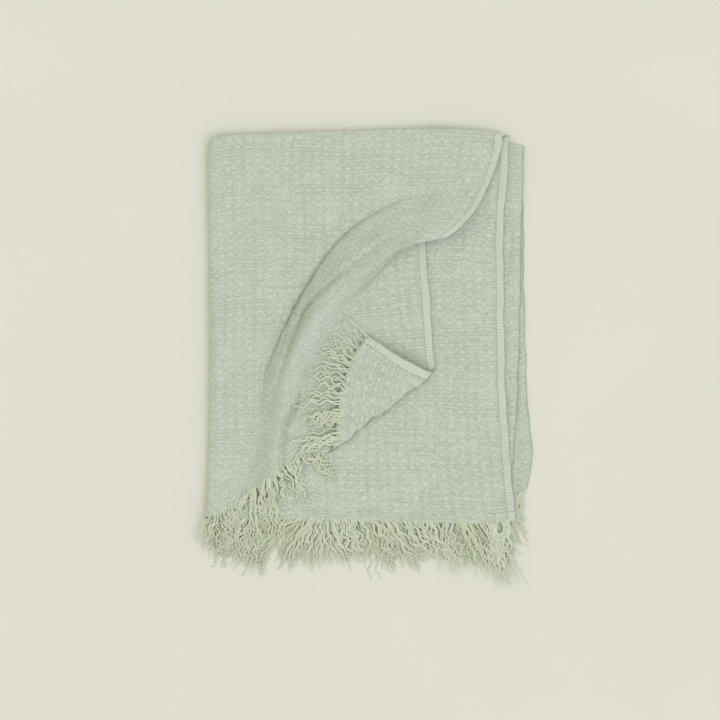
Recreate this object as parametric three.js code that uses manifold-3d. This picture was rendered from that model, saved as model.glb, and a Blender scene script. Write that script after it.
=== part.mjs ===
// Linen throw with fringed ends, folded in quarters, its top corner turned back. Millimetres, +Z up.
import * as THREE from 'three';
import { mergeVertices } from 'three/addons/utils/BufferGeometryUtils.js';
import Module from 'manifold-3d';

// Cloth
const UPPER_WIDTH = 630;
const HALF_LENGTH = 828;
const CLOTH_THICK = 2.4;
const HEM_WIDTH = 16;
const HEM_EXTRA = 0.4;

// Folds: the layers of a pair turn about the top edge, the pairs about the left edge
const PAIR_TURN = 2.1;
const TOP_PUFF = 0.25;
const TOP_PUFF_REACH = 45;
const LEFT_PUFF = 0.35;
const LEFT_PUFF_REACH = 55;

// Outline of the folded stack
const LEFT_EDGE = [
  { down: 0, x: -332 },
  { down: 0.04, x: -336 },
  { down: 0.45, x: -332 },
  { down: 0.72, x: -332 },
  { down: 0.9, x: -337 },
  { down: 1, x: -342 },
];
const RIGHT_EDGES = [
  { down: 0, first: 296, second: 301, third: 338, fourth: 336 },
  { down: 0.1, first: 291, second: 302, third: 335, fourth: 336 },
  { down: 0.2, first: 292, second: 296, third: 333, fourth: 336 },
  { down: 0.3, first: 293, second: 294, third: 331, fourth: 337 },
  { down: 0.65, first: 293, second: 298, third: 325, fourth: 342 },
  { down: 0.81, first: 293, second: 306, third: 317, fourth: 350 },
  { down: 0.9, first: 293, second: 313, third: 314, fourth: 355 },
  { down: 1, first: 293, second: 320, third: 312, fourth: 346 },
];
const TOP_EDGES = [
  { across: 0, upper: 402, lower: 397 },
  { across: 0.05, upper: 407, lower: 400 },
  { across: 0.3, upper: 413, lower: 404 },
  { across: 0.6, upper: 418, lower: 403 },
  { across: 0.8, upper: 422, lower: 399 },
  { across: 0.95, upper: 415, lower: 393 },
  { across: 1, upper: 406, lower: 384 },
];
const BOTTOM_EDGES = [
  { across: 0, first: -403, second: -410, third: -413, fourth: -418 },
  { across: 0.5, first: -410, second: -417, third: -414, fourth: -423 },
  { across: 0.85, first: -413, second: -422, third: -412, fourth: -410 },
  { across: 0.93, first: -413, second: -420, third: -404, fourth: -392 },
  { across: 1, first: -414, second: -416, third: -384, fourth: -345 },
];

// Lower right piece of the top layer, carried up and to the left and turned a little
const CARRIED_CORNER_X = 160.5;
const CARRIED_CORNER_Y = -250.5;
const CARRIED_TURN = THREE.MathUtils.degToRad(4.5);

// Corner flap, folded over on a slanting line
const FLAP_ON_HEM = 160;
const FLAP_ON_FRINGE = 242;
const FLAP_TURN_AT_HEM = 6.5;
const FLAP_TURN_AT_FRINGE = 2.8;
const FLAP_REST = 6;
const FLAP_SETTLE = 70;
const FLAP_TIP_X = 2;
const FLAP_TIP_Y = 35;
const FLAP_BULGE = 27;
const FLAP_BULGE_POWER = 0.6;
const FLAP_BULGE_REACH = 70;
const FLAP_BULGE_START = 0.4;
const FLAP_ARCH = 6;
const FLAP_ARCH_REACH = 26;

// Soft roll between the flat part and the carried piece, in sections at angles about the corner.
// Along each section: where the cloth leaves the flat, and where it meets the carried piece
const ROLL_ENDS = [
  { angle: 0, far: 621, toe: 270 },
  { angle: 15, far: 588, toe: 300 },
  { angle: 30, far: 621, toe: 317 },
  { angle: 45, far: 663, toe: 321 },
  { angle: 60, far: 738, toe: 342 },
  { angle: 70, far: 760, toe: 370 },
  { angle: 75, far: 781, toe: 385 },
  { angle: 83, far: 809, toe: 415 },
  { angle: 90, far: 828, toe: 440 },
];
// Heel: the foot of the roll's left side
const ROLL_HEEL = [
  { angle: 0, reach: 546, x: -270, y: -369, height: 0 },
  { angle: 15, reach: 546, x: -235, y: -262, height: 0 },
  { angle: 30, reach: 578, x: -218, y: -119, height: 0 },
  { angle: 45, reach: 616, x: -156, y: 31, height: 0 },
  { angle: 60, reach: 685, x: -51, y: 190, height: 0 },
  { angle: 70, reach: 706, x: 47, y: 256, height: 0 },
  { angle: 75, reach: 710, x: 101, y: 279, height: 1 },
  { angle: 83, reach: 710, x: 186, y: 292, height: 2 },
  { angle: 90, reach: 717, x: 265, y: 305, height: 4 },
];
// Foot: just past the heel, so that the bend there is sharp
const ROLL_FOOT = [
  { angle: 0, reach: 535, x: -263, y: -364, height: 2 },
  { angle: 15, reach: 533, x: -231, y: -259, height: 2 },
  { angle: 30, reach: 565, x: -214, y: -119, height: 4 },
  { angle: 45, reach: 603, x: -152, y: 28, height: 6 },
  { angle: 60, reach: 669, x: -50, y: 182, height: 5 },
  { angle: 70, reach: 693, x: 45, y: 248, height: 3.5 },
  { angle: 75, reach: 697, x: 98, y: 271, height: 3.5 },
  { angle: 83, reach: 695, x: 180, y: 281, height: 4.5 },
  { angle: 90, reach: 701, x: 257, y: 290, height: 6.5 },
];
// Nose: half way up the left side
const ROLL_NOSE = [
  { angle: 0, reach: 503, x: -242, y: -350, height: 3 },
  { angle: 15, reach: 496, x: -217, y: -249, height: 4 },
  { angle: 30, reach: 520, x: -201, y: -118, height: 13.5 },
  { angle: 45, reach: 545, x: -138, y: 18, height: 18 },
  { angle: 60, reach: 590, x: -53, y: 152, height: 17 },
  { angle: 70, reach: 630, x: 33, y: 216, height: 14 },
  { angle: 75, reach: 655, x: 86, y: 243, height: 13 },
  { angle: 83, reach: 650, x: 160, y: 247, height: 14 },
  { angle: 90, reach: 653, x: 231, y: 245, height: 14 },
];
// Crest: the top of the roll
const ROLL_CREST = [
  { angle: 0, reach: 417, x: -205, y: -324, height: 10 },
  { angle: 15, reach: 417, x: -188, y: -217, height: 12.5 },
  { angle: 30, reach: 428, x: -167, y: -114, height: 29 },
  { angle: 45, reach: 439, x: -118, y: -1, height: 36 },
  { angle: 60, reach: 460, x: -45, y: 85, height: 36 },
  { angle: 70, reach: 484, x: 6, y: 121, height: 33 },
  { angle: 75, reach: 505, x: 43, y: 151, height: 31 },
  { angle: 83, reach: 560, x: 107, y: 185, height: 25 },
  { angle: 90, reach: 600, x: 195, y: 207, height: 20 },
];
// Lip: the shoulder past the crest, which falls forward at the hem
const ROLL_LIP = [
  { angle: 0, reach: 396, x: -193, y: -314, height: 9 },
  { angle: 15, reach: 396, x: -180, y: -213, height: 11.5 },
  { angle: 30, reach: 405, x: -158, y: -114, height: 24 },
  { angle: 45, reach: 415, x: -111, y: -10, height: 30 },
  { angle: 60, reach: 436, x: -43, y: 74, height: 29 },
  { angle: 70, reach: 462, x: 6, y: 112, height: 25 },
  { angle: 75, reach: 480, x: 34, y: 138, height: 22 },
  { angle: 83, reach: 535, x: 90, y: 170, height: 17 },
  { angle: 90, reach: 572, x: 167, y: 189, height: 13 },
];
// Tuck: half way down the roll's right side, and at the hem the cloth drawn back under the lip
const ROLL_TUCK = [
  { angle: 0, reach: 372, x: -178, y: -301, height: 6 },
  { angle: 15, reach: 366, x: -167, y: -207, height: 6.5 },
  { angle: 30, reach: 370, x: -146, y: -117, height: 12 },
  { angle: 45, reach: 380, x: -103, y: -22, height: 16 },
  { angle: 60, reach: 400, x: -41, y: 59, height: 16 },
  { angle: 70, reach: 432, x: 8, y: 99, height: 11 },
  { angle: 75, reach: 450, x: 32, y: 125, height: 9 },
  { angle: 83, reach: 495, x: 80, y: 173, height: 8 },
  { angle: 90, reach: 516, x: 130, y: 213, height: 8 },
];
const ROLL_LEAD = 60;

// Mesh steps
const RAYS_TO_TOP = 14;
const RAYS_TO_LEFT = 15;
const INNER_ROWS = 8;
const LOWER_COLUMNS = 7;
const LEFT_TURN_STEPS = 6;
const TOP_TURN_STEPS = 5;
const FLAP_STEPS = 3;
const FLAP_TURN_STEPS = 5;
const CARRIED_STEPS = 3;
const TOE_STEPS = 3;
const TUCK_STEPS = 3;
const LIP_STEPS = 2;
const CREST_STEPS = 3;
const NOSE_STEPS = 2;
const FOOT_STEPS = 1;
const HEEL_STEPS = 2;
const FLAT_STEPS = 2;
const LEAVING_SHARE = 0.9;
const HEM_LEAN_END = 320;
const SEARCH_START = 0.5;
const SEARCH_ROUNDS = 8;
const SAME_POINT = 1e-3;

// Fringe: a narrow strip along each layer's end, with loose strands. Start and end are distances from
// the layer's left fold; the strands head from one bearing to the other, 0 towards -Y, 90 towards +X.
const STRIP_GAP = 0.6;
const STRIP_WIDTH = 5;
const STRAND_SIDES = 3;
const SECTION_WIDTH = Math.sqrt(3);
const SECTION_HEIGHT = 1.5;
const SECTION_BELOW = 0.5;
const STRAND_WIDTH = 4.6;
const STRAND_HEIGHT = 1.9;
const STRAND_SEGMENTS = 3;
const STRAND_ROOT = 2;
const STRAND_LENGTH_SPREAD = 0.24;
const STRAND_SWAY = 1.3;
const STRAND_WAVE = 70;
const STRAND_TIP_SHARE = 0.6;
const STRAND_FALL_SHARE = 0.7;
const UNEVEN_RATE = 12.9898;
const UNEVEN_GAIN = 43758.5453;
const FRINGES = [
  { name: 'fringe_first', layer: 0, start: 0, end: 376, strands: 34, from: -10, to: 20, rest: 11.4 },
  { name: 'fringe_flap', layer: 0, start: 406, end: 630, strands: 22, from: -78, to: -122, rest: 19 },
  { name: 'fringe_second', layer: 1, start: 0, end: 630, strands: 60, from: -10, to: 10, rest: 5 },
  { name: 'fringe_third', layer: 2, start: 0, end: 630, strands: 40, from: -14, to: 34, rest: 2.5 },
  { name: 'fringe_fourth', layer: 3, start: 0, end: 630, strands: 48, from: -14, to: 40, rest: 0 },
];
// Length of the strands along a layer's edge, hanging and on the flap
const STRAND_LENGTHS = [
  { along: 0, hanging: 112, flap: 96 },
  { along: 90, hanging: 112, flap: 96 },
  { along: 200, hanging: 94, flap: 60 },
  { along: 350, hanging: 92, flap: 50 },
  { along: 480, hanging: 98, flap: 46 },
  { along: 570, hanging: 112, flap: 50 },
  { along: 610, hanging: 116, flap: 56 },
  { along: 630, hanging: 92, flap: 56 },
];

const UP = Math.PI / 2;
const mix = THREE.MathUtils.lerp;
const clamp = THREE.MathUtils.clamp;

// Smooth curve through one column of a table: level at its peaks and dips, straight on past its ends
function curve(rows, key, value) {
  const at = rows.map((row) => row[key]);
  const to = rows.map((row) => row[value]);
  const last = at.length - 1;
  const grade = at.slice(1).map((_, i) => (to[i + 1] - to[i]) / (at[i + 1] - at[i]));
  const slope = at.map((_, i) => {
    const before = grade[Math.max(i - 1, 0)];
    const after = grade[Math.min(i, last - 1)];
    return before * after <= 0 ? 0 : 2 * before * after / (before + after);
  });
  return (x) => {
    if (x <= at[0]) return to[0] + slope[0] * (x - at[0]);
    if (x >= at[last]) return to[last] + slope[last] * (x - at[last]);
    let i = 0;
    while (x > at[i + 1]) i += 1;
    const span = at[i + 1] - at[i];
    const f = (x - at[i]) / span;
    const rise = to[i + 1] - to[i];
    const bendIn = slope[i] * span - rise;
    const bendOut = rise - slope[i + 1] * span;
    return to[i] + f * rise + f * (1 - f) * ((1 - f) * bendIn + f * bendOut);
  };
}

// Edges of the four layers, first on top, as curves
function layerCurves(rows, key) {
  return ['first', 'second', 'third', 'fourth'].map((layer) => curve(rows, key, layer));
}
const leftEdge = curve(LEFT_EDGE, 'down', 'x');
const rightEdges = layerCurves(RIGHT_EDGES, 'down');
const bottomEdges = layerCurves(BOTTOM_EDGES, 'across');
const upperTopEdge = curve(TOP_EDGES, 'across', 'upper');
const lowerTopEdge = curve(TOP_EDGES, 'across', 'lower');

function betweenLayers(edges, part, upper, outer) {
  const upperPair = mix(edges[1](part), edges[0](part), outer);
  const lowerPair = mix(edges[2](part), edges[3](part), outer);
  return mix(lowerPair, upperPair, upper);
}

// How much fuller the stack is near its two folds
function topPuff(down) {
  return TOP_PUFF * Math.exp(-((down * HALF_LENGTH / TOP_PUFF_REACH) ** 2));
}
function leftPuff(across) {
  return LEFT_PUFF * Math.exp(-((across * UPPER_WIDTH / LEFT_PUFF_REACH) ** 2));
}

// A point of the folded cloth before the corner is turned back. across.turn is +90 degrees on the
// upper pair and -90 on the lower one; down.turn is 0 on the outer half and 180 on the inner one.
function foldedPoint(across, down) {
  const upper = (1 + Math.sin(across.turn)) / 2;
  const outer = (1 + Math.cos(down.turn)) / 2;
  const pairTurn = PAIR_TURN * (1 + topPuff(down.part) + leftPuff(across.part));
  const foldTurn = 2 * pairTurn;
  const radius = foldTurn + pairTurn * Math.cos(down.turn);
  const left = leftEdge(down.part) + foldTurn + pairTurn;
  const right = betweenLayers(rightEdges, down.part, upper, outer);
  const top = mix(lowerTopEdge(across.part), upperTopEdge(across.part), upper) - pairTurn;
  const bottom = betweenLayers(bottomEdges, across.part, upper, outer);
  const middle = foldTurn + pairTurn + CLOTH_THICK / 2;
  return new THREE.Vector3(
    mix(left, right, across.part) - radius * Math.cos(across.turn),
    mix(top, bottom, down.part) + pairTurn * Math.sin(down.turn),
    middle + radius * Math.sin(across.turn),
  );
}

const TOP_LEVEL = 6 * PAIR_TURN + CLOTH_THICK / 2;
const FLAP_LINE = Math.hypot(FLAP_ON_HEM, FLAP_ON_FRINGE);
const FLAP_DEPTH = FLAP_ON_HEM * FLAP_ON_FRINGE / FLAP_LINE;

// Plan of the carried piece, from the distances to the hem and to the fringe edge
function carriedPlan(fromHem, fromFringe, z) {
  const cos = Math.cos(CARRIED_TURN);
  const sin = Math.sin(CARRIED_TURN);
  return new THREE.Vector3(
    CARRIED_CORNER_X - fromHem * cos - fromFringe * sin,
    CARRIED_CORNER_Y - fromHem * sin + fromFringe * cos,
    z,
  );
}

function flapTurnAt(along) {
  return mix(FLAP_TURN_AT_HEM, FLAP_TURN_AT_FRINGE, clamp(along / FLAP_LINE, 0, 1));
}

// How far the flap is drawn out past a plain fold: its tip up, its fringe edge bulging, its hem arched
function flapDraw(fromHem, fromFringe, past) {
  const share = clamp(past / FLAP_DEPTH, 0, 1);
  const along = clamp(fromHem / FLAP_ON_FRINGE, 0, 1) ** FLAP_BULGE_POWER;
  const bulge = FLAP_BULGE * Math.sin(Math.PI * along) * Math.exp(-fromFringe / FLAP_BULGE_REACH);
  const leaving = THREE.MathUtils.smoothstep(share, 0, FLAP_BULGE_START);
  const alongHem = Math.sin(Math.PI * clamp(fromFringe / FLAP_ON_HEM, 0, 1));
  const arch = FLAP_ARCH * alongHem * Math.exp(-((fromHem / FLAP_ARCH_REACH) ** 2));
  return new THREE.Vector3(
    FLAP_TIP_X * share ** 2 - bulge * leaving,
    FLAP_TIP_Y * share ** 2,
    arch * leaving,
  );
}

// The carried piece lies flat as far as the flap's fold line, turns over and comes back above itself
function carriedPoint(fromHem, fromFringe) {
  const past = FLAP_DEPTH * (1 - fromHem / FLAP_ON_FRINGE - fromFringe / FLAP_ON_HEM);
  if (past <= 0) return carriedPlan(fromHem, fromFringe, TOP_LEVEL);
  const alongX = FLAP_ON_FRINGE / FLAP_LINE;
  const alongY = -FLAP_ON_HEM / FLAP_LINE;
  const along = fromHem * alongX + (fromFringe - FLAP_ON_HEM) * alongY;
  const turn = flapTurnAt(along);
  const arc = Math.PI * turn;
  let out = turn * Math.sin(past / turn);
  let rise = turn * (1 - Math.cos(past / turn));
  if (past > arc) {
    out = arc - past;
    rise = mix(FLAP_REST, 2 * turn, Math.exp((arc - past) / FLAP_SETTLE));
  }
  const turned = carriedPlan(
    along * alongX + out * alongY,
    FLAP_ON_HEM + along * alongY - out * alongX,
    TOP_LEVEL + rise,
  );
  return turned.add(flapDraw(fromHem, fromFringe, past));
}

// Lines of the roll, each as smooth curves over the angle
function rollLine(rows) {
  const columns = ['reach', 'x', 'y', 'height'];
  const [reach, x, y, height] = columns.map((column) => curve(rows, 'angle', column));
  return (angle) => ({ reach: reach(angle), x: x(angle), y: y(angle), z: TOP_LEVEL + height(angle) });
}
const farReach = curve(ROLL_ENDS, 'angle', 'far');
const toeReach = curve(ROLL_ENDS, 'angle', 'toe');
const rollLines = [ROLL_TUCK, ROLL_LIP, ROLL_CREST, ROLL_NOSE, ROLL_FOOT, ROLL_HEEL].map(rollLine);
const ROLL_STEPS = [TOE_STEPS, TUCK_STEPS, LIP_STEPS, CREST_STEPS, NOSE_STEPS, FOOT_STEPS];

function flatTopPoint(fromHem, fromFringe) {
  const across = { part: 1 - fromHem / UPPER_WIDTH, turn: UP };
  const down = { part: 1 - fromFringe / HALF_LENGTH, turn: 0 };
  return foldedPoint(across, down);
}

// A point of the top layer, from its distances to the hem and to the fringe edge
function topLayerPoint(fromHem, fromFringe) {
  const reach = Math.hypot(fromHem, fromFringe);
  const angle = THREE.MathUtils.radToDeg(Math.atan2(fromFringe, fromHem));
  const far = farReach(angle);
  const toe = toeReach(angle);
  if (reach >= far) return flatTopPoint(fromHem, fromFringe);
  if (reach <= toe) return carriedPoint(fromHem, fromFringe);
  const cos = fromHem / reach;
  const sin = fromFringe / reach;
  const stops = [
    { reach: toe - ROLL_LEAD, ...carriedPlan((toe - ROLL_LEAD) * cos, (toe - ROLL_LEAD) * sin, TOP_LEVEL) },
    { reach: toe, ...carriedPlan(toe * cos, toe * sin, TOP_LEVEL) },
    ...rollLines.map((line) => line(angle)),
    { reach: far, ...flatTopPoint(far * cos, far * sin) },
    { reach: far + ROLL_LEAD, ...flatTopPoint((far + ROLL_LEAD) * cos, (far + ROLL_LEAD) * sin) },
  ];
  return new THREE.Vector3(...['x', 'y', 'z'].map((axis) => curve(stops, 'reach', axis)(reach)));
}

// A thin sheet, gathered patch by patch: its points, half the thickness at each, and its faces
function newSheet() {
  return { points: [], halves: [], faces: [], known: new Map() };
}

function sheetIndex(sheet, { point, half }) {
  const key = point.toArray().map((value) => Math.round(value / SAME_POINT)).join();
  if (!sheet.known.has(key)) {
    sheet.known.set(key, sheet.points.length);
    sheet.points.push(point);
    sheet.halves.push(half);
  }
  return sheet.known.get(key);
}

function addPatch(sheet, rows) {
  const grid = rows.map((row) => row.map((entry) => sheetIndex(sheet, entry)));
  for (let i = 0; i + 1 < grid.length; i += 1) {
    for (let j = 0; j + 1 < grid[i].length; j += 1) {
      const corners = [grid[i][j], grid[i + 1][j], grid[i + 1][j + 1], grid[i][j + 1]];
      const triangles = [[corners[0], corners[1], corners[2]], [corners[0], corners[2], corners[3]]];
      sheet.faces.push(...triangles.filter((face) => new Set(face).size === 3));
    }
  }
}

function sheetNormals(sheet) {
  const normals = sheet.points.map(() => new THREE.Vector3());
  sheet.faces.forEach((face) => {
    const [a, b, c] = face.map((index) => sheet.points[index]);
    const normal = b.clone().sub(a).cross(c.clone().sub(a));
    face.forEach((index) => normals[index].add(normal));
  });
  return normals.map((normal) => normal.normalize());
}

// One closed solid: the sheet's face, its back, and a wall round every free edge
function thicken(sheet) {
  const count = sheet.points.length;
  const normals = sheetNormals(sheet);
  const face = sheet.points.map((p, i) => p.clone().addScaledVector(normals[i], sheet.halves[i]));
  const back = sheet.points.map((p, i) => p.clone().addScaledVector(normals[i], -sheet.halves[i]));
  const edges = new Map();
  sheet.faces.forEach(([a, b, c]) => {
    [[a, b], [b, c], [c, a]].forEach(([from, to]) => {
      if (!edges.delete(`${to},${from}`)) edges.set(`${from},${to}`, [from, to]);
    });
  });
  const triangles = [];
  sheet.faces.forEach(([a, b, c]) => {
    triangles.push(a, b, c, c + count, b + count, a + count);
  });
  edges.forEach(([a, b]) => {
    triangles.push(b, a, a + count, b, a + count, b + count);
  });
  const geometry = new THREE.BufferGeometry().setFromPoints([...face, ...back]);
  geometry.setIndex(triangles);
  return geometry;
}

const HALF_THICK = CLOTH_THICK / 2;
const HALF_HEM = HALF_THICK + HEM_EXTRA;
const steps = (count) => Array.from({ length: count + 1 }, (_, i) => i / count);

// Stations across the cloth, lower hem to upper hem, and down it, inner end to outer end
const HEM_PART = HEM_WIDTH / UPPER_WIDTH;
const panelParts = (count) => [...steps(count).map((f) => f * (1 - HEM_PART)), 1];
const topParts = panelParts(RAYS_TO_TOP);
const leftParts = steps(RAYS_TO_LEFT);
const lowerAcross = panelParts(LOWER_COLUMNS).reverse().map((part) => ({ part, turn: -UP }));
const turnAcross = steps(LEFT_TURN_STEPS).map((f) => ({ part: 0, turn: mix(-UP, UP, f) }));
const upperAcross = topParts.map((part) => ({ part, turn: UP }));
const innerDown = steps(INNER_ROWS).reverse().map((part) => ({ part, turn: Math.PI }));
const turnDown = steps(TOP_TURN_STEPS).map((f) => ({ part: 0, turn: mix(Math.PI, 0, f) }));
const outerDown = leftParts.map((part) => ({ part, turn: 0 }));

function foldedPatch(downs, acrosses) {
  return downs.map((down) => acrosses.map((across) => ({
    point: foldedPoint(across, down),
    half: across.part === 1 ? HALF_HEM : HALF_THICK,
  })));
}

// Top layer: rays from the inner corner of the hem out to the left and top folds, cut into rings
// that follow the flap's fold and the lines of the roll
const rayEnds = [
  ...[...leftParts].reverse().map((part) => [UPPER_WIDTH, HALF_LENGTH * (1 - part)]),
  ...topParts.slice(1, -1).map((part) => [UPPER_WIDTH * (1 - part), HALF_LENGTH]),
];

function pointOnRay(end, share) {
  return [mix(HEM_WIDTH, end[0], share), end[1] * share];
}

// Share of a ray at which the reach from the corner equals a line's reach there
function shareAtLine(end, reachAt) {
  const length = Math.hypot(end[0] - HEM_WIDTH, end[1]);
  let share = SEARCH_START;
  for (let round = 0; round < SEARCH_ROUNDS; round += 1) {
    const [fromHem, fromFringe] = pointOnRay(end, share);
    const angle = THREE.MathUtils.radToDeg(Math.atan2(fromFringe, fromHem));
    share += (reachAt(angle) - Math.hypot(fromHem, fromFringe)) / length;
  }
  return Math.min(share, 1);
}

// Share of a ray at which it has gone a given distance past the flap's fold line
function shareAtFlap(end, turns) {
  const atPivot = 1 - HEM_WIDTH / FLAP_ON_FRINGE;
  const atEnd = 1 - end[0] / FLAP_ON_FRINGE - end[1] / FLAP_ON_HEM;
  const share = atPivot / (atPivot - atEnd);
  const [fromHem, fromFringe] = pointOnRay(end, share);
  const along = (fromHem * FLAP_ON_FRINGE - (fromFringe - FLAP_ON_HEM) * FLAP_ON_HEM) / FLAP_LINE;
  return share * (1 - turns * Math.PI * flapTurnAt(along) / (FLAP_DEPTH * atPivot));
}

function raySteps(from, to, count) {
  return steps(count).slice(1).map((f) => mix(from, to, f));
}

function rayShares(end) {
  const lines = rollLines.map((line) => shareAtLine(end, (angle) => line(angle).reach));
  const stops = [
    [0, 0],
    [shareAtFlap(end, 1), FLAP_STEPS],
    [shareAtFlap(end, 0), FLAP_TURN_STEPS],
    [shareAtLine(end, toeReach), CARRIED_STEPS],
    ...lines.map((share, i) => [share, ROLL_STEPS[i]]),
    [mix(lines[lines.length - 1], shareAtLine(end, farReach), LEAVING_SHARE), HEEL_STEPS],
    [1, FLAT_STEPS],
  ];
  const shares = [0];
  for (let i = 1; i < stops.length; i += 1) {
    shares.push(...raySteps(stops[i - 1][0], stops[i][0], stops[i][1]));
  }
  return shares.reverse();
}

function topLayerPatch() {
  const rays = rayEnds.map((end) => rayShares(end).map((share) => pointOnRay(end, share)));
  return rays[0].map((_, ring) => rays.map((ray) => ({
    point: topLayerPoint(...ray[ring]),
    half: HALF_THICK,
  })));
}

// The hem beside the last ray: its rungs lean along the flap's fold and come square again past it
function hemPatch() {
  const shares = rayShares(rayEnds[rayEnds.length - 1]);
  const lean = HEM_WIDTH * FLAP_ON_HEM / FLAP_ON_FRINGE;
  const foldStart = FLAP_ON_HEM - lean;
  return shares.map((share) => {
    const fromFringe = HALF_LENGTH * share;
    const inFlap = clamp(fromFringe / foldStart, 0, 1);
    const pastFold = clamp((HEM_LEAN_END - fromFringe) / (HEM_LEAN_END - foldStart), 0, 1);
    const edge = fromFringe + lean * inFlap * pastFold;
    return [
      { point: topLayerPoint(HEM_WIDTH, fromFringe), half: HALF_THICK },
      { point: topLayerPoint(0, edge), half: HALF_HEM },
    ];
  });
}

function clothGeometry() {
  const sheet = newSheet();
  const allAcross = [...lowerAcross, ...turnAcross.slice(1, -1), ...upperAcross];
  addPatch(sheet, foldedPatch([...innerDown, ...turnDown.slice(1)], allAcross));
  addPatch(sheet, foldedPatch(outerDown, [...lowerAcross, ...turnAcross.slice(1)]));
  addPatch(sheet, topLayerPatch());
  addPatch(sheet, hemPatch());
  return thicken(sheet);
}

// Closed solids, for joining strands to their strip
const wasm = await Module();
wasm.setup();

function solidOf(geometry) {
  const bare = geometry.clone();
  bare.deleteAttribute('normal');
  bare.deleteAttribute('uv');
  const merged = mergeVertices(bare, SAME_POINT);
  const vertProperties = new Float32Array(merged.attributes.position.array);
  const triVerts = new Uint32Array(merged.index.array);
  return new wasm.Manifold(new wasm.Mesh({ numProp: 3, vertProperties, triVerts }));
}

function geometryOf(solid) {
  const { vertProperties, triVerts } = solid.getMesh();
  const geometry = new THREE.BufferGeometry();
  geometry.setAttribute('position', new THREE.BufferAttribute(vertProperties, 3));
  return geometry.setIndex(new THREE.BufferAttribute(triVerts, 1));
}

// A point of a layer, from its distance to the left fold and to the fringe edge
const LAYERS = [
  { across: UP, down: 0 },
  { across: UP, down: Math.PI },
  { across: -UP, down: Math.PI },
  { across: -UP, down: 0 },
];
function layerPoint(layer, fromFold, fromFringe) {
  if (layer === 0) return topLayerPoint(UPPER_WIDTH - fromFold, fromFringe);
  const across = { part: fromFold / UPPER_WIDTH, turn: LAYERS[layer].across };
  const down = { part: 1 - fromFringe / HALF_LENGTH, turn: LAYERS[layer].down };
  return foldedPoint(across, down);
}

function fringeEdge(layer, fromFold) {
  const edge = layerPoint(layer, fromFold, 0);
  const out = edge.clone().sub(layerPoint(layer, fromFold, STRIP_WIDTH)).normalize();
  return { edge, out };
}

// The strip's columns stand at the cloth's own stations along that edge
function edgeStations(layer) {
  const parts = layer === 1 ? topParts : panelParts(LOWER_COLUMNS);
  if (layer > 0) return parts.map((part) => part * UPPER_WIDTH);
  const edgeRay = rayShares(rayEnds[0]).map((share) => UPPER_WIDTH - pointOnRay(rayEnds[0], share)[0]);
  return [...edgeRay, UPPER_WIDTH];
}

function stripColumns({ layer, start, end }) {
  const inside = edgeStations(layer).filter((fromFold) => fromFold >= start && fromFold <= end);
  return inside.map((fromFold) => ({ fromFold, ...fringeEdge(layer, fromFold) }));
}

function stripGeometry(columns) {
  const sheet = newSheet();
  addPatch(sheet, [STRIP_GAP, STRIP_GAP + STRIP_WIDTH].map((reach) => columns.map(({ edge, out }) => ({
    point: edge.clone().addScaledVector(out, reach),
    half: HALF_THICK,
  }))));
  return thicken(sheet);
}

// A repeatable uneven number from 0 to 1
function uneven(seed) {
  const value = Math.sin(seed * UNEVEN_RATE) * UNEVEN_GAIN;
  return value - Math.floor(value);
}

// A strand's root in the strip, at a share of the strip's length
function strandRoot(columns, share) {
  const fromFold = mix(columns[0].fromFold, columns[columns.length - 1].fromFold, share);
  const next = columns.findIndex((column) => column.fromFold >= fromFold);
  const [before, after] = [columns[next - 1], columns[next]];
  const f = (fromFold - before.fromFold) / (after.fromFold - before.fromFold);
  const edge = before.edge.clone().lerp(after.edge, f);
  const root = edge.addScaledVector(before.out.clone().lerp(after.out, f), STRIP_GAP + STRAND_ROOT);
  return { root, fromFold };
}

const strandLengths = {
  hanging: curve(STRAND_LENGTHS, 'along', 'hanging'),
  flap: curve(STRAND_LENGTHS, 'along', 'flap'),
};

// One strand: a three-sided rod with a level underside, swaying as it falls to what it rests on
function strandGeometry(fringe, columns, number) {
  const share = (number + 0.5) / fringe.strands;
  const { root, fromFold } = strandRoot(columns, share);
  const seed = number + fringe.layer * fringe.strands + fringe.start;
  const usual = strandLengths[fringe.name === 'fringe_flap' ? 'flap' : 'hanging'](fromFold);
  const length = usual * (1 + STRAND_LENGTH_SPREAD * (uneven(seed) - 0.5));
  const heading = THREE.MathUtils.degToRad(mix(fringe.from, fringe.to, share));
  const along = new THREE.Vector3(Math.sin(heading), -Math.cos(heading), 0);
  const side = new THREE.Vector3(Math.cos(heading), Math.sin(heading), 0);
  const phase = 2 * Math.PI * uneven(seed + 0.5);
  const start = root.z - HALF_THICK;
  const rest = fringe.rest * (1 + leftPuff(fromFold / UPPER_WIDTH));
  const geometry = new THREE.CylinderGeometry(1, 1, 1, STRAND_SIDES, STRAND_SEGMENTS);
  const position = geometry.attributes.position;
  const corner = new THREE.Vector3();
  for (let i = 0; i < position.count; i += 1) {
    corner.fromBufferAttribute(position, i);
    const f = 0.5 - corner.y;
    const scale = mix(1, STRAND_TIP_SHARE, f);
    const sway = STRAND_SWAY * f * Math.sin(phase + 2 * Math.PI * f * length / STRAND_WAVE);
    const fall = THREE.MathUtils.smoothstep(f, 0, STRAND_FALL_SHARE);
    const sideways = sway + corner.x * scale * STRAND_WIDTH / SECTION_WIDTH;
    const above = scale * STRAND_HEIGHT * (corner.z + SECTION_BELOW) / SECTION_HEIGHT;
    const height = mix(start, rest, fall) + above;
    const place = root.clone().addScaledVector(along, f * length).addScaledVector(side, sideways);
    position.setXYZ(i, place.x, place.y, height);
  }
  return geometry;
}

function fringeGeometry(fringe) {
  const columns = stripColumns(fringe);
  const numbers = Array.from({ length: fringe.strands }, (_, number) => number);
  const strands = numbers.map((number) => strandGeometry(fringe, columns, number));
  const solids = [stripGeometry(columns), ...strands].map(solidOf);
  return geometryOf(wasm.Manifold.union(solids));
}

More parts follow.
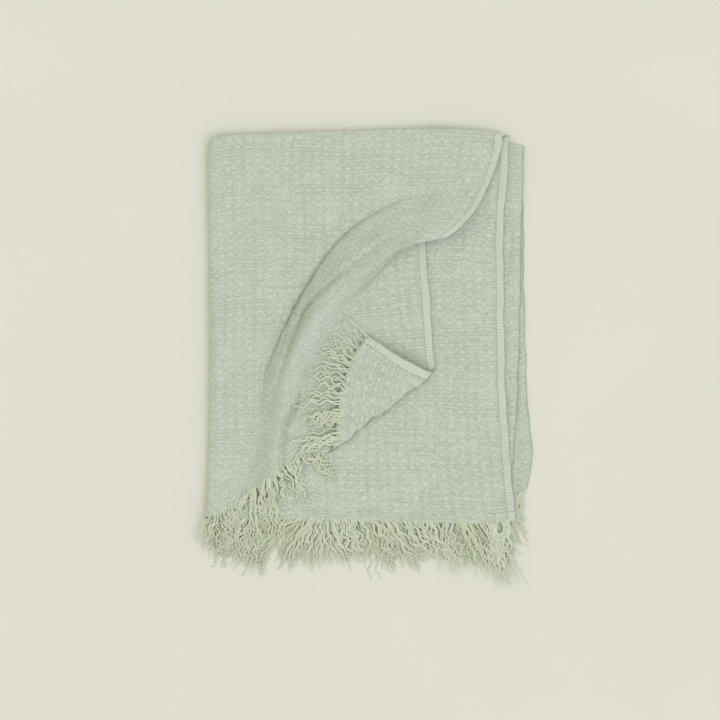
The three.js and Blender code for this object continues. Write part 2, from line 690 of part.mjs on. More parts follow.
const linen = new THREE.MeshStandardMaterial({ color: 0xb9c1b0, roughness: 0.95, metalness: 0 });

function named(name, geometry) {
  const mesh = new THREE.Mesh(geometry, linen.clone());
  mesh.name = name;
  return mesh;
}

const linenThrow = new THREE.Group();
linenThrow.add(named('cloth', clothGeometry()));
FRINGES.forEach((fringe) => linenThrow.add(named(fringe.name, fringeGeometry(fringe))));

export default linenThrow;
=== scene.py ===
# %% [markdown]
# # A folded linen throw
# A throw is one woven panel with a narrow hem down each long side and a fringe at
# both ends. Here it is folded in half, then in half again, and one corner of the top
# layer is drawn back and turned over. The folded solids come in as a fixed frame in
# metres. Everything made below is placed in that same frame, so nothing is fitted
# by eye.

# %% Load the frame
import math

import bmesh
import bpy
import numpy as np
from mathutils import Matrix, Vector
from mathutils.bvhtree import BVHTree


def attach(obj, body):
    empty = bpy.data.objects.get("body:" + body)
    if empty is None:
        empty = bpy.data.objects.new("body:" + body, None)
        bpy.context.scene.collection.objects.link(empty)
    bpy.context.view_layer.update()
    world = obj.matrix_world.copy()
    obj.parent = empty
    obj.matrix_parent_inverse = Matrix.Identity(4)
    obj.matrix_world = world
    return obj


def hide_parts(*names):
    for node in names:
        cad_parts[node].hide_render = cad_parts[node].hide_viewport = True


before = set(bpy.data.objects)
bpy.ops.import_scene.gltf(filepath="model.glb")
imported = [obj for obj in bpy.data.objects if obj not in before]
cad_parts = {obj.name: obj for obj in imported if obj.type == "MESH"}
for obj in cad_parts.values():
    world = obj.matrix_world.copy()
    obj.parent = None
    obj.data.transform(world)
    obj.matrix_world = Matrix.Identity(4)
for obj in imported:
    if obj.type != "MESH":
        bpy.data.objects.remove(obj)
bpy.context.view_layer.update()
scene = bpy.context.scene
MM = 0.001
print("solids:", sorted(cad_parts))

# %% [markdown]
# ## The camera
# The throw is seen from straight above. A long lens from a few metres up keeps the
# edges of the stack from leaning outwards, as a product camera on a boom does. The
# width of floor that fills the picture sets the focal length.

# %% Camera above the throw
PICTURE_WIDTH = 1.541
PICTURE_CENTRE = (-0.0128, -0.0717)
CAMERA_HEIGHT = 3.4
SENSOR = 36.0

camera_data = bpy.data.cameras.new("boom_camera")
camera_data.sensor_width = SENSOR
camera_data.lens = SENSOR * CAMERA_HEIGHT / PICTURE_WIDTH
camera = bpy.data.objects.new("boom_camera", camera_data)
camera.location = (*PICTURE_CENTRE, CAMERA_HEIGHT)
scene.collection.objects.link(camera)
scene.camera = camera
print("lens", round(camera_data.lens, 1), "mm")

# %% [markdown]
# ## Sizes of the cloth and its folds
# A cloth model is easiest to reason about in two spaces: the flat panel as it came
# off the loom, and the place in the folded stack where each bit of it ends up. These
# are the sizes of the flat panel in millimetres, and short tables for the edges of
# the stack, a row for each place where an edge bends. Fractions run along an edge.

# %% Panel and folds
HALF_WIDTH = 630.0
HALF_LENGTH = 828.0
CLOTH_THICK = 2.4
HEM_WIDTH = 16.0
HEM_THICK = 3.2

PAIR_TURN = 2.1
TOP_PUFF, TOP_PUFF_REACH = 0.25, 45.0
LEFT_PUFF, LEFT_PUFF_REACH = 0.35, 55.0
TOP_LEVEL = 6 * PAIR_TURN + CLOTH_THICK / 2

LEFT_EDGE = {
    "down": [0, 0.04, 0.45, 0.72, 0.9, 1],
    "x": [-332, -336, -332, -332, -337, -342],
}
RIGHT_EDGES = {
    "down": [0, 0.1, 0.2, 0.3, 0.65, 0.81, 0.9, 1],
    "first": [290, 291, 292, 293, 293, 293, 293, 293],
    "second": [306, 302, 296, 294, 298, 306, 313, 320],
    "third": [338, 335, 333, 331, 325, 317, 314, 312],
    "fourth": [336, 336, 336, 337, 342, 350, 355, 346],
}
TOP_EDGES = {
    "across": [0, 0.05, 0.3, 0.6, 0.8, 0.95, 1],
    "upper": [402, 407, 413, 418, 422, 415, 406],
    "lower": [397, 400, 404, 403, 399, 393, 384],
}
BOTTOM_EDGES = {
    "across": [0, 0.5, 0.85, 0.93, 1],
    "first": [-403, -410, -413, -413, -414],
    "second": [-410, -417, -422, -420, -416],
    "third": [-413, -414, -412, -404, -384],
    "fourth": [-418, -423, -410, -392, -345],
}
print("stack height", round(TOP_LEVEL + CLOTH_THICK / 2, 1), "mm at the flat part")

# %% [markdown]
# ## The corner that is drawn back
# The lower right corner of the top layer was picked up, moved to the left and laid
# down again. The slack between it and the flat part stands up as a soft roll. The
# roll is described by lines that run along it: its heel on the left, the foot close
# beside it that makes the bend sharp, its nose, its crest, the lip that falls forward
# and the tuck below it. Each line has a row for several directions, as angles about
# the corner, and says how much cloth lies between it and the corner (reach), and where
# it stands.

# %% Lines of the roll
ROLL_LEAD = 60.0
ANGLES = [0, 15, 30, 45, 60, 70, 75, 83, 90]
ROLL_ENDS = {
    "angle": ANGLES,
    "far": [621, 588, 621, 663, 738, 760, 781, 809, 828],
    "toe": [270, 300, 317, 321, 342, 370, 385, 415, 440],
}
TUCK = {
    "angle": ANGLES,
    "reach": [372, 366, 370, 380, 400, 432, 450, 495, 516],
    "x": [-178, -167, -146, -103, -41, 8, 32, 80, 130],
    "y": [-301, -207, -117, -22, 59, 99, 125, 173, 213],
    "height": [6, 6.5, 12, 16, 16, 11, 9, 8, 8],
}
LIP = {
    "angle": ANGLES,
    "reach": [396, 396, 405, 415, 436, 462, 480, 535, 572],
    "x": [-193, -180, -158, -111, -43, 6, 34, 90, 167],
    "y": [-314, -213, -114, -10, 74, 112, 138, 170, 189],
    "height": [9, 11.5, 24, 30, 29, 25, 22, 17, 13],
}
CREST = {
    "angle": ANGLES,
    "reach": [417, 417, 428, 439, 460, 484, 505, 560, 600],
    "x": [-205, -188, -167, -118, -45, 6, 43, 107, 195],
    "y": [-324, -217, -114, -1, 85, 121, 151, 185, 207],
    "height": [10, 12.5, 29, 36, 36, 33, 31, 25, 20],
}
NOSE = {
    "angle": ANGLES,
    "reach": [503, 496, 520, 545, 590, 630, 655, 650, 653],
    "x": [-242, -217, -201, -138, -53, 33, 86, 160, 231],
    "y": [-350, -249, -118, 18, 152, 216, 243, 247, 245],
    "height": [3, 4, 13.5, 18, 17, 14, 13, 14, 14],
}
FOOT = {
    "angle": ANGLES,
    "reach": [535, 533, 565, 603, 669, 693, 697, 695, 701],
    "x": [-263, -228.5, -213, -153.5, -50.5, 46.3, 98.5, 180, 257],
    "y": [-364, -258, -119, 29, 186.5, 252, 273, 281, 290],
    "height": [1.5, 1.2, 3.2, 6.5, 5, 3.5, 3, 4, 6.5],
}
HEEL = {
    "angle": ANGLES,
    "reach": [546, 546, 578, 616, 685, 706, 710, 710, 717],
    "x": [-270, -235, -218, -156, -51, 47, 101, 186, 265],
    "y": [-369, -262, -119, 31, 190, 256, 279, 292, 305],
    "height": [0, 0, 0, 0, 0, 0, 1, 2, 4],
}
ROLL_LINES = [TUCK, LIP, CREST, NOSE, FOOT, HEEL]
print("roll stands", max(CREST["height"]), "mm above the top layer")

# %% [markdown]
# ## The flap
# The drawn-back corner keeps its shape, turned a little, and its tip folds over on a
# slanting line. That makes a small flap. Its fold is rounder at the hem, its tip is
# drawn up, its fringed edge bulges and its hem arches off the cloth below.

# %% Flap
CARRIED_CORNER = (160.5, -250.5)
CARRIED_TURN = math.radians(4.5)
FLAP_ON_HEM, FLAP_ON_FRINGE = 160.0, 242.0
FLAP_TURN_AT_HEM, FLAP_TURN_AT_FRINGE = 6.5, 2.8
FLAP_REST, FLAP_SETTLE = 6.0, 70.0
FLAP_TIP = (2.0, 35.0)
FLAP_BULGE, FLAP_BULGE_POWER, FLAP_BULGE_REACH, FLAP_BULGE_START = 27.0, 0.6, 70.0, 0.4
FLAP_ARCH, FLAP_ARCH_REACH = 6.0, 26.0
FLAP_LINE = math.hypot(FLAP_ON_HEM, FLAP_ON_FRINGE)
FLAP_DEPTH = FLAP_ON_HEM * FLAP_ON_FRINGE / FLAP_LINE
print("flap is", round(FLAP_DEPTH), "mm deep")

# %% [markdown]
# ## A smooth line through the rows of a table
# Cloth bends without overshooting, so the curve through each table is level at its
# peaks and dips and never swings past a row. It works on whole arrays at once, which
# keeps tens of thousands of cloth points quick to place.

# %% Smooth curves
def smooth(at, to, x):
    x = np.asarray(x, float)
    at = np.broadcast_to(np.asarray(at, float), x.shape + np.shape(at)[-1:])
    to = np.broadcast_to(np.asarray(to, float), x.shape + np.shape(to)[-1:])
    grade = np.diff(to) / np.diff(at)
    before = np.concatenate([grade[..., :1], grade], -1)
    after = np.concatenate([grade, grade[..., -1:]], -1)
    same_way = before * after > 0
    total = np.where(same_way, before + after, 1.0)
    slope = np.where(same_way, 2 * before * after / total, 0.0)
    left = np.clip((x[..., None] >= at).sum(-1) - 1, 0, at.shape[-1] - 2)[..., None]

    def at_row(values, step):
        return np.take_along_axis(values, left + step, -1)[..., 0]

    span = at_row(at, 1) - at_row(at, 0)
    rise = at_row(to, 1) - at_row(to, 0)
    f = np.clip((x - at_row(at, 0)) / span, 0, 1)
    bend_in = at_row(slope, 0) * span - rise
    bend_out = rise - at_row(slope, 1) * span
    inside = at_row(to, 0) + f * rise + f * (1 - f) * ((1 - f) * bend_in + f * bend_out)
    below = np.minimum(x - at[..., 0], 0) * slope[..., 0]
    above = np.maximum(x - at[..., -1], 0) * slope[..., -1]
    return inside + below + above


def column(table, value, x):
    key = next(iter(table))
    return smooth(table[key], table[value], x)


def mix(a, b, f):
    return a + (b - a) * f


print("left edge half way down:", round(float(column(LEFT_EDGE, "x", 0.5)), 1), "mm")

# %% [markdown]
# ## Folding the panel in quarters
# Two folds are two half turns. The panel turns over the top edge into a pair of
# layers, and that pair turns over the left edge into four. A point's share across
# and down, and how far it has gone round each turn, give its place in the stack.

# %% Fold into four layers
TURN = 2 * math.pi
QUARTER_TURN = TURN / 4


def between_layers(edges, part, upper, outer):
    upper_pair = mix(column(edges, "second", part), column(edges, "first", part), outer)
    lower_pair = mix(column(edges, "third", part), column(edges, "fourth", part), outer)
    return mix(lower_pair, upper_pair, upper)


def folded(across, across_turn, down, down_turn):
    upper = (1 + np.sin(across_turn)) / 2
    outer = (1 + np.cos(down_turn)) / 2
    top_puff = TOP_PUFF * np.exp(-((down * HALF_LENGTH / TOP_PUFF_REACH) ** 2))
    left_puff = LEFT_PUFF * np.exp(-((across * HALF_WIDTH / LEFT_PUFF_REACH) ** 2))
    pair_turn = PAIR_TURN * (1 + top_puff + left_puff)
    fold_turn = 2 * pair_turn
    radius = fold_turn + pair_turn * np.cos(down_turn)
    left = column(LEFT_EDGE, "x", down) + fold_turn + pair_turn
    right = between_layers(RIGHT_EDGES, down, upper, outer)
    lower_top, upper_top = (column(TOP_EDGES, side, across) for side in ("lower", "upper"))
    top = mix(lower_top, upper_top, upper) - pair_turn
    bottom = between_layers(BOTTOM_EDGES, across, upper, outer)
    x = mix(left, right, across) - radius * np.cos(across_turn)
    y = mix(top, bottom, down) + pair_turn * np.sin(down_turn)
    z = fold_turn + pair_turn + CLOTH_THICK / 2 + radius * np.sin(across_turn)
    return np.stack([x, y, z], -1)


def flat_top(from_hem, from_fringe):
    across = 1 - from_hem / HALF_WIDTH
    down = 1 - from_fringe / HALF_LENGTH
    return folded(across, QUARTER_TURN, down, 0.0)


half_way = folded(np.array(0.5), QUARTER_TURN, np.array(0.0), QUARTER_TURN)
print("top fold, half way:", half_way.round(1))

# %% [markdown]
# ## Laying the corner down
# The carried piece keeps its shape: it is moved and turned as a flat card. Past the
# slanting line it goes round a small half circle and comes back above itself, lower
# and lower as it settles. A worn fold is never ruled, so this one wanders a little.

# %% Carry and flap
FOLD_WANDER, FOLD_WANDER_REACH = 2.1, 14.0
FOLD_WAVE = {"long": 17.0, "fine": 0.7, "fine_long": 7.3, "fine_turn": 1.0}
HEM_ROUNDING, HEM_ROUNDING_REACH = 8.0, 10.0


def carried_plan(from_hem, from_fringe, z):
    cos, sin = math.cos(CARRIED_TURN), math.sin(CARRIED_TURN)
    x = CARRIED_CORNER[0] - from_hem * cos - from_fringe * sin
    y = CARRIED_CORNER[1] - from_hem * sin + from_fringe * cos
    return np.stack([x, y, z + 0 * x], -1)


def ease(f, start, end):
    """0 up to start, 1 from end on, soft between."""
    f = np.clip((f - start) / (end - start), 0, 1)
    return f * f * (3 - 2 * f)


def uneven_wave(at, long, fine, fine_long, fine_turn, wobble=0.0, wobble_long=1.0):
    """A long wave with a finer one on it. A wobble makes it hurry and lag."""
    slow = np.sin(at / long + wobble * np.sin(at / wobble_long))
    return slow + fine * np.sin(at / fine_long + fine_turn)


def flap_draw(from_hem, from_fringe, past):
    """How far the flap is drawn out past a plain fold: its tip up, its fringed edge bulging."""
    share = np.clip(past / FLAP_DEPTH, 0, 1)
    along = np.clip(from_hem / FLAP_ON_FRINGE, 0, 1) ** FLAP_BULGE_POWER
    bulge = FLAP_BULGE * np.sin(math.pi * along) * np.exp(-from_fringe / FLAP_BULGE_REACH)
    x = FLAP_TIP[0] * share ** 2 - bulge * ease(share, 0, FLAP_BULGE_START)
    y = FLAP_TIP[1] * share ** 2
    beside_hem = np.exp(-((from_hem / FLAP_ARCH_REACH) ** 2))
    arch = FLAP_ARCH * beside_hem * np.sin(math.pi * np.clip(from_fringe / FLAP_ON_HEM, 0, 1))
    return np.stack([x, y, arch * ease(share, 0, FLAP_BULGE_START)], -1)


def fold_wander(from_hem, along, past, turn):
    """How far the fold wanders from its line. It is round where it meets the hem."""
    near_fold = np.exp(-((past - math.pi * turn / 2) / FOLD_WANDER_REACH) ** 2)
    wander = FOLD_WANDER * uneven_wave(along, **FOLD_WAVE)
    rounding = HEM_ROUNDING * np.exp(-((from_hem / HEM_ROUNDING_REACH) ** 2))
    return near_fold * (wander - rounding)


def flap_fold(from_hem, from_fringe):
    """How far a point is past the flap's line and along it, and how round the fold is there."""
    past = FLAP_DEPTH * (1 - from_hem / FLAP_ON_FRINGE - from_fringe / FLAP_ON_HEM)
    along = (from_hem * FLAP_ON_FRINGE - (from_fringe - FLAP_ON_HEM) * FLAP_ON_HEM) / FLAP_LINE
    turn = mix(FLAP_TURN_AT_HEM, FLAP_TURN_AT_FRINGE, np.clip(along / FLAP_LINE, 0, 1))
    return past, along, turn


def carried(from_hem, from_fringe):
    past, along, turn = flap_fold(from_hem, from_fringe)
    along_x, along_y = FLAP_ON_FRINGE / FLAP_LINE, -FLAP_ON_HEM / FLAP_LINE
    arc = math.pi * turn
    over = past > arc
    settle = mix(FLAP_REST, 2 * turn, np.exp(np.minimum(arc - past, 0) / FLAP_SETTLE))
    out = np.where(over, arc - past, turn * np.sin(past / turn))
    out = out + fold_wander(from_hem, along, past, turn)
    rise = np.where(over, settle, turn * (1 - np.cos(past / turn)))
    hem = along * along_x + out * along_y
    fringe = FLAP_ON_HEM + along * along_y - out * along_x
    turned = carried_plan(hem, fringe, TOP_LEVEL + rise) + flap_draw(from_hem, from_fringe, past)
    lying = carried_plan(from_hem, from_fringe, TOP_LEVEL)
    return np.where((past > 0)[..., None], turned, lying)


print("turned corner lies at", carried(np.array(0.0), np.array(0.0)).round(0), "mm")

# %% [markdown]
# ## The roll between
# Between the carried piece and the part that still lies flat, a straight line drawn on
# the cloth out from the corner becomes a curve. It goes through one place on each line
# of the roll. A short lead at both ends lets it leave the flat cloth smoothly.

# %% Roll
def top_layer(from_hem, from_fringe):
    reach = np.hypot(from_hem, from_fringe)
    angle = np.degrees(np.arctan2(from_fringe, from_hem))
    cos, sin = np.cos(np.radians(angle)), np.sin(np.radians(angle))
    far, toe = (column(ROLL_ENDS, end, angle) for end in ("far", "toe"))
    lead, tail = toe - ROLL_LEAD, far + ROLL_LEAD
    lines = [
        np.stack([column(line, "x", angle), column(line, "y", angle),
                  TOP_LEVEL + column(line, "height", angle)], -1)
        for line in ROLL_LINES
    ]
    places = [carried_plan(part * cos, part * sin, TOP_LEVEL) for part in (lead, toe)]
    places += lines + [flat_top(part * cos, part * sin) for part in (far, tail)]
    reaches = [lead, toe, *(column(line, "reach", angle) for line in ROLL_LINES), far, tail]
    stops, places = np.stack(reaches, -1), np.stack(places, -1)
    rolled = np.stack([smooth(stops, places[..., axis, :], reach) for axis in range(3)], -1)
    placed = np.where((reach >= far)[..., None], flat_top(from_hem, from_fringe), rolled)
    return np.where((reach <= toe)[..., None], carried(from_hem, from_fringe), placed)


middle = top_layer(np.array(HALF_WIDTH / 2), np.array(HALF_LENGTH / 2))
print("middle of the top layer:", middle.round(0), "mm")

# %% [markdown]
# ## Stations across and down the panel
# A waffle weave repeats in cells, so the mesh takes a few steps to each cell where
# the cloth shows, and long steps in the lower pair of layers, which only shows at its
# edge. Each station knows its distance on the flat panel, its share of the layer and
# how far round the fold it is.

# %% Stations
CELL_WIDE, CELL_TALL = 21.6, 15.6
STEPS_WIDE, STEPS_TALL = 4, 3
LEFT_ARC, TOP_ARC = 14.0, 7.0
SIDE_FOLD_STEPS, TOP_FOLD_STEPS = 8, 6
HEM_STATIONS = np.array([0.0, 1.5, 6.0, 13.0, HEM_WIDTH])
HIDDEN_STEP = 44.0
SHOWN_EDGE = 60.0
HIDDEN_BELOW_TOP = 110.0


def stations(*pieces):
    """Join stretches of (start, end, longest step) into one row of stations."""
    rows = []
    for start, end, step in pieces:
        count = max(1, round(abs(end - start) / step))
        rows.append(np.linspace(start, end, count, endpoint=False))
    return np.concatenate(rows)


fine_wide, fine_tall = CELL_WIDE / STEPS_WIDE, CELL_TALL / STEPS_TALL
hem_row = HALF_WIDTH - HEM_STATIONS[::-1]
hem_start, shown_start = HALF_WIDTH - HEM_WIDTH, HALF_WIDTH - SHOWN_EDGE
upper_side = np.append(stations((0, hem_start, fine_wide)), hem_row)
lower_side = np.append(
    stations((0, shown_start, HIDDEN_STEP), (shown_start, hem_start, fine_wide)), hem_row)
outer_half = np.append(stations((0, HALF_LENGTH, fine_tall)), HALF_LENGTH)
inner_half = np.append(
    stations((0, HIDDEN_BELOW_TOP, HIDDEN_STEP / 2), (HIDDEN_BELOW_TOP, HALF_LENGTH, fine_tall)),
    HALF_LENGTH)
side_turns = np.linspace(-QUARTER_TURN, QUARTER_TURN, SIDE_FOLD_STEPS + 1)[1:-1]
top_turns = np.linspace(math.pi, 0, TOP_FOLD_STEPS + 1)[1:-1]

from_fold = np.concatenate([lower_side[::-1], 0 * side_turns, upper_side])
side_turn = np.concatenate(
    [0 * lower_side - QUARTER_TURN, side_turns, 0 * upper_side + QUARTER_TURN])
from_top = np.concatenate([inner_half[::-1], 0 * top_turns, outer_half])
top_turn = np.concatenate([0 * inner_half + math.pi, top_turns, 0 * outer_half])
flat_u = np.sign(side_turn) * from_fold + LEFT_ARC * side_turn / math.pi
flat_v = np.cos(top_turn) * from_top + TOP_ARC * (0.5 - top_turn / math.pi)
print("stations:", len(flat_u), "across,", len(flat_v), "down")

# %% [markdown]
# ## Place every point of the cloth
# Only the top layer is drawn back, so the grid is placed once as a folded stack, and
# the block that is the top layer is placed again through the roll and the flap.

# %% Place the cloth
across_grid, down_grid = np.meshgrid(from_fold / HALF_WIDTH, from_top / HALF_LENGTH)
side_grid, turn_grid = np.meshgrid(side_turn, top_turn)
u_grid, v_grid = np.meshgrid(flat_u, flat_v)
points = folded(across_grid, side_grid, down_grid, turn_grid)
on_top = (side_grid == QUARTER_TURN) & (turn_grid == 0)
points[on_top] = top_layer(
    HALF_WIDTH * (1 - across_grid[on_top]), HALF_LENGTH * (1 - down_grid[on_top]))
print("cloth box mm", points.min((0, 1)).round(0), points.max((0, 1)).round(0))

# %% [markdown]
# ## Listed creases
# A handled cloth is never dead level. Each crease here is a line through places on the
# top layer, with its width and its height at each place: below zero is a trough. The
# first runs along the roll, half way up its left side, and the second along its tuck.
# The wide ones are soft swells of the flat cloth.

# %% Crease tables
CREASES = [
    # Each crease is a row of places: x, y, width, height
    [(120, 214, 10, -1.0), (48, 186, 9, -2.6), (-47, 116, 8, -3.8), (-98, 70, 6, -4.5),
     (-130, 33, 5.5, -6.0), (-167, -62, 6.5, -4.0), (-201, -162, 7, -2.2), (-214, -220, 8, 0)],
    [(-108, -96, 9, -1.0), (-127, -129, 9, -4.0), (-152, -172, 8, -6.0), (-170, -207, 8, -5.5),
     (-177, -250, 8, -4.5), (-179, -290, 8, -3.0)],
    [(90, 212, 9, 1.0), (10, 178, 8, 1.8), (-70, 118, 6, 1.6)],
    [(-104, 84, 5, 1.6), (-140, 40, 5, 2.0), (-168, -30, 5, 1.6), (-186, -80, 6, 1.0)],
    [(60, 236, 7, -1.4), (14, 206, 7, -1.6), (-30, 170, 6, 0)],
    [(-62, 158, 4, 0), (-84, 130, 4, -2.4), (-108, 98, 4, 0)],
    [(-22, 158, 7, 0), (-44, 132, 7, 2.8), (-66, 98, 7, 0)],
    [(-112, 80, 6, 0), (-124, 60, 6, -3.0), (-126, 40, 6, 0)],
    [(-138, 66, 6, 0), (-146, 44, 6, 2.6), (-144, 24, 6, 0)],
    [(-156, 24, 6, 0), (-164, -6, 6, 2.6), (-166, -36, 6, 0)],
    [(-118, 92, 4, 0), (-146, 52, 4, -1.6), (-166, 6, 4, -1.8), (-176, -22, 4, 0)],
    [(-178, -30, 5, 0), (-190, -66, 5, -1.6), (-200, -110, 5, 0)],
    [(-20, 122, 6, 0), (-58, 92, 5, 1.6), (-98, 54, 5, 1.4), (-116, 34, 5, 0)],
    [(-112, 34, 5, 0), (-132, 2, 5, 1.5), (-150, -46, 6, 1.2), (-160, -80, 6, 0)],
    [(20, 150, 9, 0), (-16, 124, 8, -1.6), (-60, 78, 7, -1.4), (-90, 44, 7, 0)],
    [(60, 222, 6, 0), (100, 238, 6, 1.5), (150, 246, 7, 0)],
    [(40, 168, 10, 0), (90, 192, 10, -1.6), (150, 205, 10, 0)],
    [(-252, 120, 34, 1.6), (-262, 10, 34, 1.6)],
    [(-285, 130, 26, 1.2), (-300, -60, 26, 1.2)],
    [(-205, -120, 20, 0), (-215, -165, 20, 1.8), (-222, -215, 22, 2.2), (-232, -270, 24, 2.2),
     (-242, -325, 24, 1.5)],
    [(-240, -130, 8, 0), (-245, -160, 7, -1.8), (-246, -210, 7, -1.6), (-250, -240, 8, 0)],
    [(-222, -160, 9, 1.6), (-228, -260, 9, 1.6)],
    [(-290, -180, 30, 1.4), (-280, -330, 30, 1.4)],
    [(-140, 330, 34, 1.3), (60, 350, 34, 1.3)],
    [(120, 345, 26, 1.2), (235, 330, 26, 1.2)],
    [(-250, 300, 40, 1.2), (-120, 240, 40, 1.2)],
]
print("creases:", len(CREASES))

# %% [markdown]
# ## Raising the creases
# Across its line, a crease is a smooth bump that fades on both sides. A few slow waves
# go through the whole stack as well, more towards the top, so that the layers still
# lie on each other. The carried piece and its flap keep their own shape.

# %% Raise the creases
CREASED_FROM = 15.0
SLOW_WAVES = [
    # Wavelength in x, wavelength in y, turn, height
    (310, 240, 0.4, 0.55),
    (170, -210, 2.1, 0.40),
    (-120, 95, 4.0, 0.22),
]


def line_distance(place, line):
    """Distance of each place from a line, above zero on its left, and its other columns there."""
    nearest = np.full(len(place), np.inf)
    signed = np.zeros(len(place))
    columns = np.zeros((len(place), len(line[0]) - 2))
    for start, end in zip(np.array(line[:-1], float), np.array(line[1:], float)):
        step = end[:2] - start[:2]
        reach = place[:, :2] - start[:2]
        f = np.clip(reach @ step / (step @ step), 0, 1)
        distance = np.linalg.norm(reach - f[:, None] * step, axis=1)
        side = np.where(step[0] * reach[:, 1] > step[1] * reach[:, 0], 1, -1)
        closer = distance < nearest
        nearest[closer] = distance[closer]
        signed[closer] = (distance * side)[closer]
        columns[closer] = mix(start[2:], end[2:], f[:, None])[closer]
    return signed, columns


def crease_rise(place):
    rise = np.zeros(len(place))
    for line in CREASES:
        distance, columns = line_distance(place, line)
        rise += columns[:, 1] * np.exp(-((distance / columns[:, 0]) ** 2))
    return rise


def slow_rise(place):
    rise = 0
    for wide, tall, turn, height in SLOW_WAVES:
        rise = rise + height * np.sin(TURN * (place[..., 0] / wide + place[..., 1] / tall) + turn)
    return rise * np.clip(place[..., 2] / TOP_LEVEL, 0, 1)


hem_away, fringe_away = HALF_WIDTH * (1 - across_grid), HALF_LENGTH * (1 - down_grid)
toe_grid = column(ROLL_ENDS, "toe", np.degrees(np.arctan2(fringe_away, hem_away)))
loose = on_top & (np.hypot(hem_away, fringe_away) > toe_grid + CREASED_FROM)
crease_rises = crease_rise(points[loose])
points[loose, 2] += crease_rises
points[..., 2] += slow_rise(points)
print("creases from", crease_rises.min().round(1), "to", crease_rises.max().round(1), "mm")

# %% [markdown]
# ## Hems that ripple
# A stitched hem pulls the cloth up a little between its stitches, so its edge is never
# ruled. The last centimetre or two moves in and out and up and down along the hem, by
# about a millimetre.

# %% Hem ripple
RIPPLE_OUT, RIPPLE_UP, RIPPLE_REACH = 1.0, 0.5, 22.0
END_OUT, END_REACH = 1.1, 9.0
HEM_WAVE = {"long": 27.0, "wobble": 1.3, "wobble_long": 71.0,
            "fine": 0.6, "fine_long": 11.5, "fine_turn": 0.7}
END_WAVE = {"long": 13.0, "wobble": 1.7, "wobble_long": 47.0,
            "fine": 0.8, "fine_long": 5.9, "fine_turn": 0.4}
UP_LONG, UP_TURN = 19.0, 2.0


def outward(axis, first_half):
    """Directions across the grid's edge, turned round in its first half."""
    steps = np.gradient(points, axis=axis) * np.where(first_half, -1, 1)[..., None]
    return steps / np.linalg.norm(steps, axis=-1, keepdims=True)


hem_share = np.exp(-((hem_away / RIPPLE_REACH) ** 2)) * (np.abs(side_grid) == QUARTER_TURN)
hem_ripple = RIPPLE_OUT * hem_share * uneven_wave(v_grid, **HEM_WAVE)
points += outward(1, u_grid < 0) * hem_ripple[..., None]
end_share = np.exp(-((fringe_away / END_REACH) ** 2))
end_ripple = END_OUT * end_share * uneven_wave(u_grid, **END_WAVE)
points += outward(0, v_grid < 0) * end_ripple[..., None]
points[..., 2] += RIPPLE_UP * hem_share * np.sin(v_grid / UP_LONG + UP_TURN) * on_top
print("hems ripple by up to", np.abs(hem_ripple).max().round(1), "mm")

# %% [markdown]
# ## Waffle relief
# In a waffle weave, long floats stand up as ridges round each cell and the middle
# sinks. The sheet itself is moved along its own normal, so a ridge on one face is a
# hollow on the other, as in the real weave. The cells drift a little, because washed
# linen shrinks unevenly. The hems and the last rows before the fringe are plain.

# %% Waffle relief
RELIEF, LINE_SHARE, CELL_SHARE = 0.55, 0.3, 0.4
HEM_FADE = 6.0
END_FADE, END_FADE_FROM, END_LEAST = 14.0, 3.0, 0.15
UNEVEN, UNEVEN_LONG, UNEVEN_WOBBLE, UNEVEN_WOBBLE_LONG = 0.25, 51.0, 2.0, 67.0
DRIFT_ACROSS = {"swing": 2.2, "long": 61.0, "wobble": 0.6, "wobble_long": 83.0,
                "fine": 1.2, "fine_long": 29.0, "fine_beside": 37.0}
DRIFT_DOWN = {"swing": 2.6, "long": 74.0, "wobble": 0.9, "wobble_long": 97.0,
              "fine": 1.1, "fine_long": 23.0, "fine_beside": -41.0}
HALF_FLAT_WIDTH = HALF_WIDTH + LEFT_ARC / 2
HALF_FLAT_LENGTH = HALF_LENGTH + TOP_ARC / 2


def drift(at, beside, swing, long, wobble, wobble_long, fine, fine_long, fine_beside):
    """How far washing has moved a cell from its place on the loom."""
    slow = swing * np.sin(at / long + wobble * np.sin(beside / wobble_long))
    return slow + fine * np.sin(beside / fine_beside + at / fine_long)


cell_u = (u_grid + drift(v_grid, u_grid, **DRIFT_ACROSS)) / CELL_WIDE
cell_v = (v_grid + drift(u_grid, v_grid, **DRIFT_DOWN)) / CELL_TALL
to_hem = HALF_FLAT_WIDTH - np.abs(u_grid)
to_end = HALF_FLAT_LENGTH - np.abs(v_grid)
inside_hems = np.clip((to_hem - HEM_WIDTH) / HEM_FADE, 0, 1)
inside_ends = np.clip((to_end - END_FADE_FROM) / END_FADE, END_LEAST, 1)
uneven = np.sin(u_grid / UNEVEN_LONG + UNEVEN_WOBBLE * np.sin(v_grid / UNEVEN_WOBBLE_LONG))
height = RELIEF * inside_hems * inside_ends * (1 - UNEVEN + UNEVEN * uneven)
wave_u, wave_v = np.cos(TURN * cell_u), np.cos(TURN * cell_v)
waffle = LINE_SHARE * (wave_u + wave_v) + CELL_SHARE * wave_u * wave_v
normals = np.cross(np.gradient(points, axis=1), np.gradient(points, axis=0))
normals /= np.linalg.norm(normals, axis=-1, keepdims=True)
relief_rise = height * waffle
points += normals * relief_rise[..., None]
print("relief", np.ptp(relief_rise).round(2), "mm from hollow to ridge")

# %% [markdown]
# ## The cloth as a mesh
# A grid from the mesh operator has the right faces already, so its corners are only
# moved to their places. Two UV maps ride on it: the distances on the flat panel, for
# the hems and stitches, and the drifting cells, for the weave.

